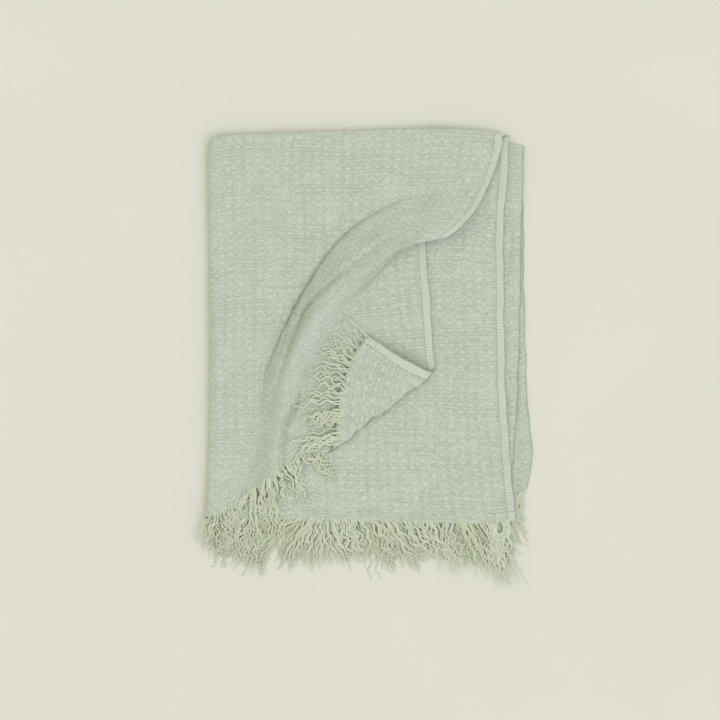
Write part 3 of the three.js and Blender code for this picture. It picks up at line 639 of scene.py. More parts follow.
# %% Build the cloth
def set_uv(mesh, name, u, v):
    """A UV map from two values for each point."""
    layer = mesh.uv_layers.new(name=name)
    corner = np.empty(len(mesh.loops), int)
    mesh.loops.foreach_get("vertex_index", corner)
    layer.data.foreach_set("uv", np.stack([u, v], -1)[corner].ravel())


cloth_bm = bmesh.new()
bmesh.ops.create_grid(cloth_bm, x_segments=len(flat_u) - 1, y_segments=len(flat_v) - 1, size=1.0)
cloth_mesh = bpy.data.meshes.new("linen_cloth")
cloth_bm.to_mesh(cloth_mesh)
cloth_bm.free()

corners = np.empty(len(cloth_mesh.vertices) * 3)
cloth_mesh.vertices.foreach_get("co", corners)
grid_x, grid_y = corners.reshape(-1, 3)[:, 0], corners.reshape(-1, 3)[:, 1]
col = np.rint((grid_x + 1) / 2 * (len(flat_u) - 1)).astype(int)
row = np.rint((grid_y + 1) / 2 * (len(flat_v) - 1)).astype(int)
cloth_mesh.vertices.foreach_set("co", (points[row, col] * MM).ravel())
set_uv(cloth_mesh, "flat_panel", u_grid[row, col] * MM, v_grid[row, col] * MM)
set_uv(cloth_mesh, "weave_cells", cell_u[row, col], cell_v[row, col])
cloth_mesh.shade_smooth()
print("cloth quads", len(cloth_mesh.polygons), "each side")

# %% [markdown]
# ## Painted shade along folds
# Where cloth is bent hard, shade gathers in the crease, and that shade is painted into
# the colour here. Three lines of the roll get it: its heel, the crease half way up its
# side, and its tuck. The flap's fold does too. Each gets a UV map with the distance to
# the line and how deep its painted shade is there, which the finish turns into a tint.

# %% Painted shade along folds
FAR_AWAY, FLAP_FOLD_SHADE = 500.0, 2.6
HEEL_SHADE = {
    "angle": [12, 20, 26, 32, 40, 48, 56, 62, 66, 70, 74, 78],
    "strength": [0, 0, 0.05, 0.35, 0.9, 1, 0.75, 0.5, 0.3, 0.15, 0, 0],
}
heel_places = [column(HEEL, axis, HEEL_SHADE["angle"]) for axis in ("x", "y")]
CREASE_SHADE_LINES = {
    # Each line is a row of places: x, y, strength of the painted shade
    "heel_crease_shade": list(zip(*heel_places, HEEL_SHADE["strength"])),
    "band_crease_shade": [(120, 214, 0), (48, 186, 0.3), (-47, 116, 0.5), (-98, 70, 0.8), (-130, 33, 1),
                     (-167, -62, 0.5), (-201, -162, 0.2), (-214, -220, 0)],
    "tuck_crease_shade": [(130, 205, 0), (80, 170, 0.5), (32, 122, 0.8), (2, 94, 0.8), (-41, 55, 0.4),
                     (-103, -22, 0), (-127, -129, 0.3), (-152, -172, 0.8), (-170, -207, 0.9),
                     (-177, -250, 0.8), (-179, -295, 0.3)],
}
for name, line in CREASE_SHADE_LINES.items():
    distance, strength = np.full(points.shape[:2], FAR_AWAY), np.zeros(points.shape[:2])
    distance[loose], line_strength = line_distance(points[loose], line)
    strength[loose] = line_strength[:, 0]
    set_uv(cloth_mesh, name, distance[row, col] * MM, strength[row, col])

# The flap's fold gets painted shade too, by how far a point is past the middle of its turn.
past_line, _, fold_turn = flap_fold(hem_away, fringe_away)
past_fold = np.where(on_top, past_line - math.pi * fold_turn / 2, FAR_AWAY)
set_uv(cloth_mesh, "flap_fold_shade", past_fold[row, col] * MM, on_top[row, col] * FLAP_FOLD_SHADE)
print("pressed lines:", 1 + len(CREASE_SHADE_LINES))

# %% [markdown]
# ## Shade under the fringe and the flap
# Light that reaches cloth through yarns or under a raised edge has been through linen
# first, and comes out greener. These lines say where such shade lies: in two bands
# under the flap's yarns, under the top layer's own fringe and along the flap's hem.
# The cloth of the flap lies above it all and has none.

# %% Shaded lines
SHADED_LINES = [
    # Each line is a row of places: x, y, how deep the shade is, how far it reaches
    [(-30, -70, 0.3, 25), (-56, -118, 0.8, 25), (-64, -166, 1, 25), (-70, -214, 1, 25),
     (-80, -240, 0.4, 25)],
    [(-60, -61, 0.2, 22), (-90, -104, 0.5, 26), (-106, -157, 0.8, 30), (-106, -221, 0.8, 30),
     (-116, -258, 0.4, 26)],
    [(-250, -372, 0.6, 25), (-237, -356, 1, 25), (-195, -346, 1, 25), (-177, -320, 1, 25),
     (-150, -310, 0.8, 25), (-120, -290, 0.3, 25)],
    [(10, -20, 0.2, 14), (55, -44, 0.8, 20), (90, -64, 1.0, 22), (116, -78, 1.0, 18),
     (134, -88, 0.4, 12)],
]
shaded = np.zeros(len(row))
for line in SHADED_LINES:
    distance, shade = line_distance(points[row, col], line)
    shaded = np.maximum(shaded, shade[:, 0] * np.clip(1 - abs(distance) / shade[:, 1], 0, 1))
shaded[(on_top & (past_line > 0))[row, col]] = 0
set_uv(cloth_mesh, "in_shade", shaded, 0 * shaded)
print("points in shade:", np.count_nonzero(shaded))

# %% [markdown]
# ## Thickness
# A Solidify modifier gives the sheet its thickness on both sides. Its vertex group
# makes the hems fuller, where the cloth is turned over and lies double.

# %% Thickness
FULL_FROM = HEM_WIDTH - 1.0

cloth = bpy.data.objects.new("linen_cloth", cloth_mesh)
scene.collection.objects.link(cloth)
fullness = cloth.vertex_groups.new(name="fullness")
in_hem = to_hem[row, col] < FULL_FROM
fullness.add(np.flatnonzero(in_hem).tolist(), 1.0, "REPLACE")
fullness.add(np.flatnonzero(~in_hem).tolist(), CLOTH_THICK / HEM_THICK, "REPLACE")
thickness = cloth.modifiers.new("thickness", "SOLIDIFY")
thickness.thickness = HEM_THICK * MM
thickness.offset = 0.0
thickness.vertex_group = "fullness"
print("thickness", CLOTH_THICK, "mm, and", HEM_THICK, "mm in the hems")

# %% [markdown]
# ## Writing a finish as sums
# A finish is a small network of nodes. Wrapping a node's output in a class whose
# plus, minus and times add Math nodes lets the network be written as plain sums, and
# one method makes every other node from its type, its settings and its inputs.

# %% Finish helper
class Shade:
    """One output of a node in a finish, which sums and products can use."""

    def __init__(self, tree, socket):
        self.tree = tree
        self.socket = socket

    def make(self, kind, settings=None, inputs=None, output=0):
        node = self.tree.nodes.new(kind)
        for name, value in (settings or {}).items():
            setattr(node, name, value)
        for name, value in (inputs or {}).items():
            if isinstance(value, Shade):
                self.tree.links.new(value.socket, node.inputs[name])
            else:
                node.inputs[name].default_value = value
        return Shade(self.tree, node.outputs[output])

    def math(self, operation, *values):
        values = dict(enumerate(values))
        return self.make("ShaderNodeMath", {"operation": operation}, values)

    def __add__(self, other):
        return self.math("ADD", self, other)

    def __radd__(self, other):
        return self.math("ADD", other, self)

    def __sub__(self, other):
        return self.math("SUBTRACT", self, other)

    def __rsub__(self, other):
        return self.math("SUBTRACT", other, self)

    def __mul__(self, other):
        return self.math("MULTIPLY", self, other)

    def __rmul__(self, other):
        return self.math("MULTIPLY", other, self)

    def cos(self):
        return self.math("COSINE", self)

    def sin(self):
        return self.math("SINE", self)

    def size(self):
        return self.math("ABSOLUTE", self)

    def between(self, low, high):
        """0 below low, 1 above high, soft between."""
        inputs = {"Value": self, "From Min": low, "From Max": high}
        return self.make("ShaderNodeMapRange", {"interpolation_type": "SMOOTHSTEP"}, inputs)

    def blend(self, first, second):
        """The first colour where this is 0, the second where it is 1."""
        inputs = {0: self, 6: first, 7: second}
        return self.make("ShaderNodeMix", {"data_type": "RGBA"}, inputs, 2)


def new_finish(name, **constants):
    """A finish: its material, a first Shade to build on, and its main shader node."""
    material = bpy.data.materials.new(name)
    material.use_nodes = True
    tree = material.node_tree
    shader = tree.nodes["Principled BSDF"]
    for socket, value in constants.items():
        shader.inputs[socket.replace("_", " ")].default_value = value
    return material, Shade(tree, None), shader


def connect(shade, shader, socket):
    shade.tree.links.new(shade.socket, shader.inputs[socket])


def uv_map(shade, name):
    """A UV map as a vector, and its two parts."""
    vector = shade.make("ShaderNodeUVMap", {"uv_map": name})
    first, second = (shade.make("ShaderNodeSeparateXYZ", {}, {0: vector}, axis) for axis in (0, 1))
    return vector, first, second


def object_place(shade):
    return shade.make("ShaderNodeTexCoord", {}, {}, "Object")


def noise(vector, scale, stretch=(1.0, 1.0, 1.0)):
    """Soft noise, with its pattern made finer along each axis by stretch."""
    stretched = vector.make(
        "ShaderNodeVectorMath", {"operation": "MULTIPLY"}, {0: vector, 1: stretch})
    inputs = {"Vector": stretched, "Scale": scale, "Detail": 2.0}
    return vector.make("ShaderNodeTexNoise", {}, inputs)


def linear(red, green, blue):
    """A colour as a paint chart gives it, 0 to 255, for Blender's linear sockets."""
    parts = [c / 255 for c in (red, green, blue)]
    return (*[p / 12.92 if p <= 0.04045 else ((p + 0.055) / 1.055) ** 2.4 for p in parts], 1.0)


print("finish helper ready")

# %% [markdown]
# ## Linen: the weave
# Washed linen is matt, with a faint bloom of loose fibre that sheen gives. The weave
# repeats once a cell, so plain waves of the cell's coordinates draw it: ridges round
# the cells, floats at twice their pace, and threads about two millimetres apart. Noise
# makes every cell a little different and opens short gaps between rows and columns.

# %% Weave of the linen
THREADS_WIDE, THREADS_TALL = 9, 7
RIDGE_WIDE, RIDGE_TALL, RIDGE_BOTH = 0.24, 0.30, 0.5
FLOAT_TALL, FLOAT_BOTH, FLOAT_WIDE = 0.4, 0.5, 0.14
WEFT_SHARE, WARP_SHARE = 0.55, 0.45
FLECKS, GAP_PATCHES = (0.3, 0.7), (0.45, 0.62)
ROW_GAP_END, COLUMN_GAP_END = -0.3, -0.6

linen, linen_start, linen_shader = new_finish(
    "linen_waffle", Roughness=0.92, Sheen_Weight=0.25, Sheen_Roughness=0.55,
    Specular_IOR_Level=0.15)
weave_uv, cell_x, cell_y = uv_map(linen_start, "weave_cells")
flat_uv, flat_x, flat_y = uv_map(linen_start, "flat_panel")
cloth_place = object_place(linen_start)

wide, tall = (cell_x * TURN).cos(), (cell_y * TURN).cos()
wide_twice, tall_twice = (cell_x * (2 * TURN)).cos(), (cell_y * (2 * TURN)).cos()
ridges = RIDGE_WIDE * wide + RIDGE_TALL * tall + RIDGE_BOTH * (wide * tall)
floats = FLOAT_TALL * (wide * tall_twice) + FLOAT_BOTH * (wide_twice * tall_twice)
floats = floats + FLOAT_WIDE * wide_twice
threads = (cell_x * (THREADS_WIDE * TURN / 2)).sin() * (cell_y * (THREADS_TALL * TURN / 2)).sin()
weft = noise(cloth_place, scale=240.0, stretch=(0.5, 1.5, 1.0))
warp = noise(cloth_place, scale=240.0, stretch=(1.5, 0.6, 1.0))
grain = WEFT_SHARE * weft + WARP_SHARE * warp - 0.5
mottle = noise(weave_uv, scale=0.45)
fleck = noise(cloth_place, scale=105.0).between(*FLECKS)
slow_tone = noise(flat_uv, scale=9.0) - 0.5
row_patch = noise(cloth_place, scale=34.0, stretch=(0.35, 1.0, 1.0))
column_patch = noise(cloth_place, scale=30.0, stretch=(1.0, 0.3, 1.0))
row_gaps = (1 - tall_twice.between(-1.0, ROW_GAP_END)) * row_patch.between(*GAP_PATCHES)
column_gaps = (1 - wide.between(-1.0, COLUMN_GAP_END)) * column_patch.between(*GAP_PATCHES)
print("threads", round(CELL_WIDE / THREADS_WIDE, 1), "mm apart")

# %% [markdown]
# ## Linen: hems and stitches
# The flat distances tell where the hem is turned over. It widens a little near the
# fringe. A row of stitches sinks in beside its inner edge, and a faint line marks the
# last weft threads before the fringe. The very rim of the hem is in shade.

# %% Hems and stitches
HEM_TAPER, HEM_TAPER_FROM = 7.0 * MM, (HALF_LENGTH - 110) * MM
HEM_EDGE_SOFT = 0.7 * MM
STITCH_EVERY, STITCH_INSIDE = 6.0 * MM, 1.5 * MM
STITCH_WIDTH, STITCH_ENDS = (0.6 * MM, 1.3 * MM), (0.1, 0.6)
END_LINE, END_LINE_WANDER, END_LINE_WIDTH = 21.0 * MM, 4.0 * MM, (0.4 * MM, 1.4 * MM)
HEM_RIM_SHADE = ((HALF_FLAT_WIDTH - 2.4) * MM, (HALF_FLAT_WIDTH - 0.4) * MM)
PATCH_EDGE = (0.4, 0.6)

taper = HEM_TAPER * flat_y.between(HEM_TAPER_FROM, HALF_LENGTH * MM)
from_line = flat_x - taper - (HALF_FLAT_WIDTH - HEM_WIDTH) * MM
hem = from_line.between(-HEM_EDGE_SOFT, HEM_EDGE_SOFT)
beside_line = 1 - (from_line + STITCH_INSIDE).size().between(*STITCH_WIDTH)
stitches = beside_line * (flat_y * (TURN / STITCH_EVERY)).cos().between(*STITCH_ENDS)
from_end = HALF_FLAT_LENGTH * MM - flat_y.size()
off_end_line = from_end - END_LINE + END_LINE_WANDER * slow_tone
end_line = (1 - off_end_line.size().between(*END_LINE_WIDTH)) * row_patch.between(*PATCH_EDGE)
hem_rim_shade = flat_x.size().between(*HEM_RIM_SHADE)
print("stitches every", STITCH_EVERY / MM, "mm")

# %% [markdown]
# ## Linen: colour
# Every colour is a blend between two. The weave's pattern, with painted shade in its
# hollows and gaps and painted light on its floats, the grain and slow changes over the
# cloth go from the hollows' green grey to the pale floats. The hems are plain, paler and
# finely ribbed. Stitches, end line and the rim's painted shade are laid over that.

# %% Colour of the linen
RIDGES_LIGHT, FLOATS_LIGHT, ROW_GAP_DARK, COLUMN_GAP_DARK = 0.17, 0.155, 0.26, 0.11
GRAIN_LIGHT, MOTTLE_LIGHT, SLOW_LIGHT = 1.8, 0.2, 0.14
PANEL_RANGE = (-0.1, 1.1)
RIB_EVERY, RIB_LIGHT = 6.6 * MM, 0.2
HEM_GRAIN_LIGHT, HEM_SLOW_LIGHT = 1.6, 0.6
STITCH_TINT, END_LINE_TINT, RIM_SHADE, RIM_SHADE_MOTTLE = 0.55, 0.3, 0.3, 0.6

# The weave's light and dark is painted: shade in its hollows and gaps, light on its floats.
weave = (RIDGES_LIGHT * ridges + FLOATS_LIGHT * floats) * (0.5 + fleck)
weave = weave - ROW_GAP_DARK * row_gaps - COLUMN_GAP_DARK * column_gaps
light = 0.5 + weave + GRAIN_LIGHT * grain + MOTTLE_LIGHT * (mottle - 0.5) + SLOW_LIGHT * slow_tone
panel_colour = light.between(*PANEL_RANGE).blend(linear(176, 187, 169), linear(219, 225, 212))
ribs = (flat_y * (TURN / RIB_EVERY)).cos() * row_patch.between(*PATCH_EDGE)
hem_light = 0.5 + RIB_LIGHT * ribs + HEM_GRAIN_LIGHT * grain + HEM_SLOW_LIGHT * slow_tone
hem_colour = hem_light.between(0.0, 1.0).blend(linear(194, 204, 186), linear(217, 223, 207))
cloth_colour = hem.blend(panel_colour, hem_colour)
cloth_colour = (stitches * STITCH_TINT).blend(cloth_colour, linear(128, 138, 115))
cloth_colour = (end_line * END_LINE_TINT).blend(cloth_colour, linear(128, 140, 112))
# Painted shade along the hem's outer rim, where it rounds over onto the layer below.
rim_shade = hem_rim_shade * (RIM_SHADE + RIM_SHADE_MOTTLE * mottle)
cloth_colour = rim_shade.blend(cloth_colour, linear(132, 144, 116))
print("linen nodes so far", len(linen.node_tree.nodes))

# %% [markdown]
# ## Linen: painted shade in folds and under edges
# Each fold line gets a narrow stroke of painted shade, which noise makes waver, inside a
# broad olive halo of painted shade that comes and goes in patches. The shaded places get
# painted olive shade too. Beside the heel and the crease above it, the same patches
# will crumple the cloth.

# %% Painted shade in folds and under edges
FOLD_SHADES = {
    # UV map: width of the line, its painted shade, the painted shade of its halo
    "heel_crease_shade": (5.5 * MM, 0.5, 0.04),
    "band_crease_shade": (6.0 * MM, 0.34, 0.05),
    "tuck_crease_shade": (14.0 * MM, 0.3, 0.12),
    "flap_fold_shade": (6.0 * MM, 0.3, 0.0),
}
CRUMPLED_FOLDS = ("heel_crease_shade", "band_crease_shade")
HALO_WIDER, SHADE_TINT = 5, 0.35
MOTTLE_WAVER, PATCH_WAVER = 8.0 * MM, 14.0 * MM
PATCH_LEAST, PATCH_RANGE, PATCH_SOFT = 0.3, 1.4, (0.35, 0.65)

patches = noise(cloth_place, scale=75.0)
patchy = PATCH_LEAST + PATCH_RANGE * patches.between(*PATCH_SOFT)
waver = MOTTLE_WAVER * (mottle - 0.5) + PATCH_WAVER * (patches - 0.5)
crumpled = 0.0
for name, (line_width, line_shade, halo_shade) in FOLD_SHADES.items():
    _, away, strength = uv_map(linen_start, name)
    # Painted shade: a dark stroke on each fold line, inside an olive halo round it.
    painted_fold_shade = (1 - (away + waver).size().between(0.0, line_width)) * strength
    halo = (1 - away.size().between(0.0, HALO_WIDER * line_width)) * strength
    cloth_colour = (halo * halo_shade * patchy).blend(cloth_colour, linear(160, 172, 120))
    cloth_colour = (painted_fold_shade * line_shade).blend(cloth_colour, linear(126, 138, 106))
    if name in CRUMPLED_FOLDS:
        crumpled = crumpled + halo
_, in_shade, _ = uv_map(linen_start, "in_shade")
cloth_colour = (in_shade * SHADE_TINT).blend(cloth_colour, linear(150, 162, 118))
connect(cloth_colour, linen_shader, "Base Color")
print("tinted folds:", len(FOLD_SHADES))

# %% [markdown]
# ## Linen: bump
# The ridges are modelled, and a bump adds what is too fine for the mesh: floats, grain
# and threads, the sunken stitches, and small crumples beside the pressed folds.

# %% Bump of the linen
RIDGE_BUMP, FLOAT_BUMP, GRAIN_BUMP = 0.24, 0.3, 0.8
THREAD_BUMP, STITCH_BUMP, CRUMPLE_BUMP = 0.18, 0.7, 10.0

raised = RIDGE_BUMP * ridges + FLOAT_BUMP * floats + GRAIN_BUMP * grain
crumple = crumpled.between(0.0, 1.0) * (0.5 - patches)
relief = (1 - hem) * raised + THREAD_BUMP * threads - STITCH_BUMP * stitches
relief = relief + CRUMPLE_BUMP * crumple
linen_depth = {"Height": relief, "Strength": 0.8, "Distance": 1.2 * MM}
bump = linen_start.make("ShaderNodeBump", {}, linen_depth)
connect(bump, linen_shader, "Normal")
cloth_mesh.materials.append(linen)
print("linen nodes", len(linen.node_tree.nodes))

# %% [markdown]
# ## One yarn of the fringe
# The fringe is the panel's own lengthwise yarn, left loose. One yarn is a thin
# three-sided tube with rings along it: a cone from the mesh operator, its long edges
# cut into rings. It stands along Z from 0 to 1 here, with a radius of 1, and every
# copy is bent to its own path later.

# %% One yarn
YARN_SIDES, YARN_RINGS = 3, 24

yarn_bm = bmesh.new()
bmesh.ops.create_cone(
    yarn_bm, cap_ends=True, segments=YARN_SIDES, radius1=1.0, radius2=1.0, depth=1.0)
long_edges = [edge for edge in yarn_bm.edges if abs(edge.verts[0].co.z - edge.verts[1].co.z) > 0.5]
bmesh.ops.subdivide_edges(yarn_bm, edges=long_edges, cuts=YARN_RINGS - 1, use_grid_fill=True)
bmesh.ops.translate(yarn_bm, verts=yarn_bm.verts, vec=(0, 0, 0.5))
highest = max(yarn_bm.verts, key=lambda vert: vert.co.y)
flat_up = Matrix.Rotation(math.pi - math.atan2(highest.co.x, highest.co.y), 3, "Z")
bmesh.ops.rotate(yarn_bm, verts=yarn_bm.verts, cent=(0, 0, 0), matrix=flat_up)
yarn_mesh = bpy.data.meshes.new("one_yarn")
yarn_bm.to_mesh(yarn_mesh)
yarn_bm.free()
yarn_shape = np.array([vertex.co for vertex in yarn_mesh.vertices])
print("one yarn:", len(yarn_mesh.vertices), "points,", len(yarn_mesh.polygons), "faces")

# %% [markdown]
# ## Where the fringes hang
# The fringes are in five pieces: two on the top layer, on either side of the flap's
# fold, and one on each layer below. The tables say, for places along an edge, how long
# the yarns are, which way they lean in degrees (0 is straight down the picture,
# negative to the left) and how far they bend on from there. They also say how strongly
# the yarns curl, how far their locks stray from that and how densely they stand.

# %% Fringe tables
EDGE_PLACES = [0, 60, 100, 140, 180, 220, 260, 300, 340, 390, 430, 480, 520, 550, 580, 605, 630]
HANGING = {
    "along": EDGE_PLACES,
    "length": [84, 114, 132, 134, 124, 108, 108, 108, 116, 116, 116, 132, 152, 160, 152, 130, 92],
    "lean": [0, -12, -32, -48, -46, -26, 4, 24, 16, 30, 22, 18, 30, 24, 6, -8, -18],
    "bend": [0, 0, 8, 20, 20, 8, 8, 6, 0, -14, 0, 0, 0, -14, -20, -8, 0],
    "curl": [1.4, 1.4, 1.2, 0.9, 0.8, 0.9, 1.3, 1.3, 1.6, 1.8, 1.7, 1.5, 1.3, 1.2, 1.2, 1.1, 1],
    "stray": [1, 1, 1, 1, 1, 1, 1.3, 1.5, 1.7, 1.7, 1.7, 1.6, 1.4, 1.3, 1.2, 1, 0.8],
    "dense": [1, 1, 1, 1, 1.1, 1.5, 1.5, 1.1, 1, 1, 1, 1, 1, 1.1, 1.2, 1.4, 1.6],
}
LOWEST = {
    "along": EDGE_PLACES,
    "length": [84, 112, 122, 122, 116, 108, 108, 108, 116, 116, 116, 128, 140, 142, 126, 108, 104],
    "lean": [0, -12, -26, -38, -36, -20, 2, 16, 12, 22, 16, 12, 22, 18, 4, -12, -22],
    "bend": [0, 0, 8, 20, 20, 8, 8, 6, 0, -10, 0, 0, 0, -10, -8, 0, 0],
    "curl": [1.4, 1.4, 1.2, 0.9, 0.8, 0.9, 1.2, 1.2, 1.5, 1.7, 1.6, 1.6, 1.7, 1.7, 1.5, 1.2, 1],
    "stray": [1, 1, 1, 1, 1, 1, 1.2, 1.4, 1.5, 1.5, 1.5, 1.5, 1.5, 1.4, 1.2, 1, 0.8],
    "dense": [1, 1, 1, 1, 1.1, 1.5, 1.5, 1.1, 1, 1, 1, 1, 1, 1, 1.3, 2, 2.8],
}
OVER_ROLL = {
    "along": [0, 60, 120, 180, 240, 300, 374],
    "length": [88, 100, 124, 132, 124, 104, 104],
    "lean": [-10, -16, -10, 0, 8, 20, 34],
    "bend": [0, 0, 0, 0, 0, 0, 0],
    "curl": [1.3, 1.4, 1.4, 1.4, 1.5, 1.6, 1.6],
    "stray": [1, 1, 1.2, 1.4, 1.6, 2, 2.2],
    "dense": [1, 1, 1.2, 1.5, 1.5, 1.2, 1],
}
ON_FLAP = {
    "along": [400, 480, 560, 630],
    "length": [112, 112, 102, 92],
    "lean": [-70, -98, -114, -140],
    "bend": [22, 26, 20, 6],
    "curl": [1.6, 1.6, 1.3, 0.9],
    "stray": [1.4, 1.4, 1.0, 0.6],
    "dense": [1, 1, 1, 1],
}
longest = max(max(shape["length"]) for shape in (HANGING, LOWEST, OVER_ROLL, ON_FLAP))
print("longest yarns", longest, "mm")

# %% [markdown]
# ## The five fringes
# A fringe has its layer of the stack, the stretch of edge that it hangs from, a number
# of locks, one of the shapes above, the height it rests at and a range of tones. The
# yarns start a little inside the cloth's edge, so that no gap shows there.

# %% Five fringes
FRINGES = {
    "fringe_first": {"layer": 0, "start": 2, "end": 374, "locks": 14, "shape": OVER_ROLL,
                     "rest": 11.6, "tones": (0.45, 0.8)},
    "fringe_flap": {"layer": 0, "start": 406, "end": 628, "locks": 9, "shape": ON_FLAP,
                    "rest": 16.5, "tones": (0.55, 0.9)},
    "fringe_second": {"layer": 1, "start": 2, "end": 628, "locks": 32, "shape": HANGING,
                      "rest": 4.8, "tones": (0.35, 0.95)},
    "fringe_third": {"layer": 2, "start": 2, "end": 628, "locks": 32, "shape": LOWEST,
                     "rest": 2.4, "tones": (0.4, 0.9)},
    "fringe_fourth": {"layer": 3, "start": 2, "end": 628, "locks": 38, "shape": LOWEST,
                      "rest": 0.0, "tones": (0.45, 0.95)},
}
LAYERS = [
    # Turn about the left fold, turn about the top fold
    (QUARTER_TURN, 0.0), (QUARTER_TURN, math.pi), (-QUARTER_TURN, math.pi), (-QUARTER_TURN, 0.0),
]
YARNS_IN_LOCK = 7


def layer_point(layer, along, from_fringe):
    """Where a point of a layer's cloth lies, from its left fold and its fringed end."""
    if layer == 0:
        return top_layer(HALF_WIDTH - along, from_fringe)
    side, turn = LAYERS[layer]
    return folded(along / HALF_WIDTH, side, 1 - from_fringe / HALF_LENGTH, turn)


print("yarns:", sum(fringe["locks"] for fringe in FRINGES.values()) * YARNS_IN_LOCK)

# %% [markdown]
# ## Locks and yarns
# Loose yarns gather into wavy locks. A lock leaves the cloth's edge with its own
# length, lean, bend and wave, drawn by a seeded chance so that they come out the same
# every time. Where the table says dense, the locks stand closer together.

# %% Locks
EDGE_STATIONS = 200
LOCK_JITTER, YARN_JITTER, SPREAD = 0.3, 0.12, 1.6
LENGTH_SPREAD = (-0.28, 0.06)
LEAN_SPREAD, BEND_SPREAD = 9.0, 20.0
WAVE_LENGTHS, WAVE_SWINGS = (22.0, 46.0), (14.0, 42.0)
ROOT_INSIDE = (1.0, 13.0)


def lock_traits(fringe, chance):
    """Traits that the yarns of a lock share, with a row for each yarn."""
    locks, shape = fringe["locks"], fringe["shape"]
    share = (np.arange(locks) + 0.5 + chance.uniform(-LOCK_JITTER, LOCK_JITTER, locks)) / locks
    edge = np.linspace(fringe["start"], fringe["end"], EDGE_STATIONS)
    crowd = np.cumsum(column(shape, "dense", edge))
    along = np.interp(share * crowd[-1], crowd, edge)
    stray = column(shape, "stray", along)

    def strays(spread):
        return stray * spread * chance.uniform(-SPREAD, SPREAD, locks)

    traits = {
        "along": along,
        "pitch": np.gradient(along),
        "length": column(shape, "length", along) * (1 + chance.uniform(*LENGTH_SPREAD, locks)),
        "lean": column(shape, "lean", along) + strays(LEAN_SPREAD),
        "bend": column(shape, "bend", along) + strays(BEND_SPREAD),
        "wave": chance.uniform(*WAVE_LENGTHS, locks),
        "swing": column(shape, "curl", along) * chance.uniform(*WAVE_SWINGS, locks),
        "phase": chance.uniform(0, TURN, locks),
        "lift": chance.uniform(0, 1, locks),
    }
    return {name: np.repeat(values, YARNS_IN_LOCK)[:, None] for name, values in traits.items()}


def yarn_roots(fringe, traits, chance):
    """Root of every yarn on the cloth's edge, and the root of its lock."""
    number = np.tile(np.arange(YARNS_IN_LOCK), fringe["locks"])[:, None]
    jitter = chance.uniform(-YARN_JITTER, YARN_JITTER, number.shape)
    apart = traits["pitch"] * ((number + 0.5) / YARNS_IN_LOCK - 0.5 + jitter)
    along = [np.clip(traits["along"] + step, fringe["start"], fringe["end"]) for step in (apart, 0)]
    inside = chance.uniform(*ROOT_INSIDE, number.shape)
    return [layer_point(fringe["layer"], place, inside) for place in along]


print("locks", WAVE_LENGTHS, "mm from wave to wave")

# %% [markdown]
# ## Wavy yarns
# The yarns of a lock share its traits, with small differences of their own, and draw
# together a little below the edge. A yarn's path is made by walking along it: at each
# ring the heading swings to and fro, and one more step is taken.

# %% Wavy plans
OWN_LENGTH, OWN_LEAN, OWN_BEND, OWN_PHASE = 0.1, 6.0, 15.0, 0.28
GATHERED, GATHERED_BY, WAVES_BY = 0.14, 0.35, 0.3


def yarn_plans(traits, roots, chance):
    """Plan of every yarn from root to tip, the way it heads, and where it is in its wave."""
    f = np.linspace(0, 1, YARN_RINGS + 1)
    own = chance.uniform(-SPREAD, SPREAD, (4, len(traits["along"]), 1))
    length = traits["length"] * (1 + OWN_LENGTH * own[0])
    phase = traits["phase"] + OWN_PHASE * own[3] + TURN * f * length / traits["wave"]
    angle = traits["lean"] + OWN_LEAN * own[1] + (traits["bend"] + OWN_BEND * own[2]) * f ** 2
    angle = np.radians(angle + traits["swing"] * ease(f, 0, WAVES_BY) * np.sin(phase))
    ahead = np.stack([np.sin(angle), -np.cos(angle)], -1)
    travel = (np.cumsum(ahead, axis=1) - ahead[:, :1]) * (length / YARN_RINGS)[..., None]
    own_root, lock_root = (root[:, :, :2] for root in roots)
    start = mix(own_root, lock_root, GATHERED * ease(f, 0, GATHERED_BY)[:, None])
    return start + travel, ahead, phase


print("yarns gather by", GATHERED, "of their way to the lock's root")

# %% [markdown]
# ## Heights of the yarns
# A yarn leaves the edge at the height of its layer and sinks to what it rests on. The
# top layer's yarns cross cloth at many heights, so a ray cast straight down finds the
# cloth under each point, and the yarn is kept just above it.

# %% Heights
YARN_RADIUS, YARN_FLATNESS = 2.15, 0.5
HALF_YARN = YARN_RADIUS * YARN_FLATNESS
ROOT_SUNK, ROOT_RAISED, ROOT_LEAVES = 0.4, 2.2, 0.06
LIFTED, LIFTED_LOW, LIFT_LOST, LIFT_ON_CLOTH = 1.0, 0.15, 0.5, 0.6
SINK_END, LAID_FROM = 0.55, 0.08
ABOVE_ALL = 120.0

bpy.context.view_layer.update()
cloth_below = BVHTree.FromObject(cloth, bpy.context.evaluated_depsgraph_get())


def cloth_under(plan):
    """Height of the cloth under each point of a plan, or of the table."""
    down = Vector((0, 0, -1))
    starts = [Vector((x, y, ABOVE_ALL)) * MM for x, y in plan.reshape(-1, 2)]
    hits = [cloth_below.ray_cast(start, down)[0] for start in starts]
    return np.array([hit.z / MM if hit else 0.0 for hit in hits]).reshape(plan.shape[:2])


def yarn_heights(fringe, traits, root, plan, phase):
    f = np.linspace(0, 1, YARN_RINGS + 1)
    lifted = LIFTED_LOW if fringe["layer"] > 1 else LIFTED
    lift = lifted * (traits["lift"] + 1 + np.cos(phase)) * (1 - LIFT_LOST * f)
    leaves = root[..., 2] + mix(ROOT_SUNK, ROOT_RAISED, ease(f, 0, ROOT_LEAVES))
    height = mix(leaves, fringe["rest"] + HALF_YARN + lift, ease(f, 0, SINK_END))
    if fringe["layer"] > 0:
        return height
    laid = cloth_under(plan) + HALF_YARN + LIFT_ON_CLOTH * lift
    return np.where(f > LAID_FROM, np.maximum(height, laid), height)


print("yarns sink in the first", SINK_END, "of their length")

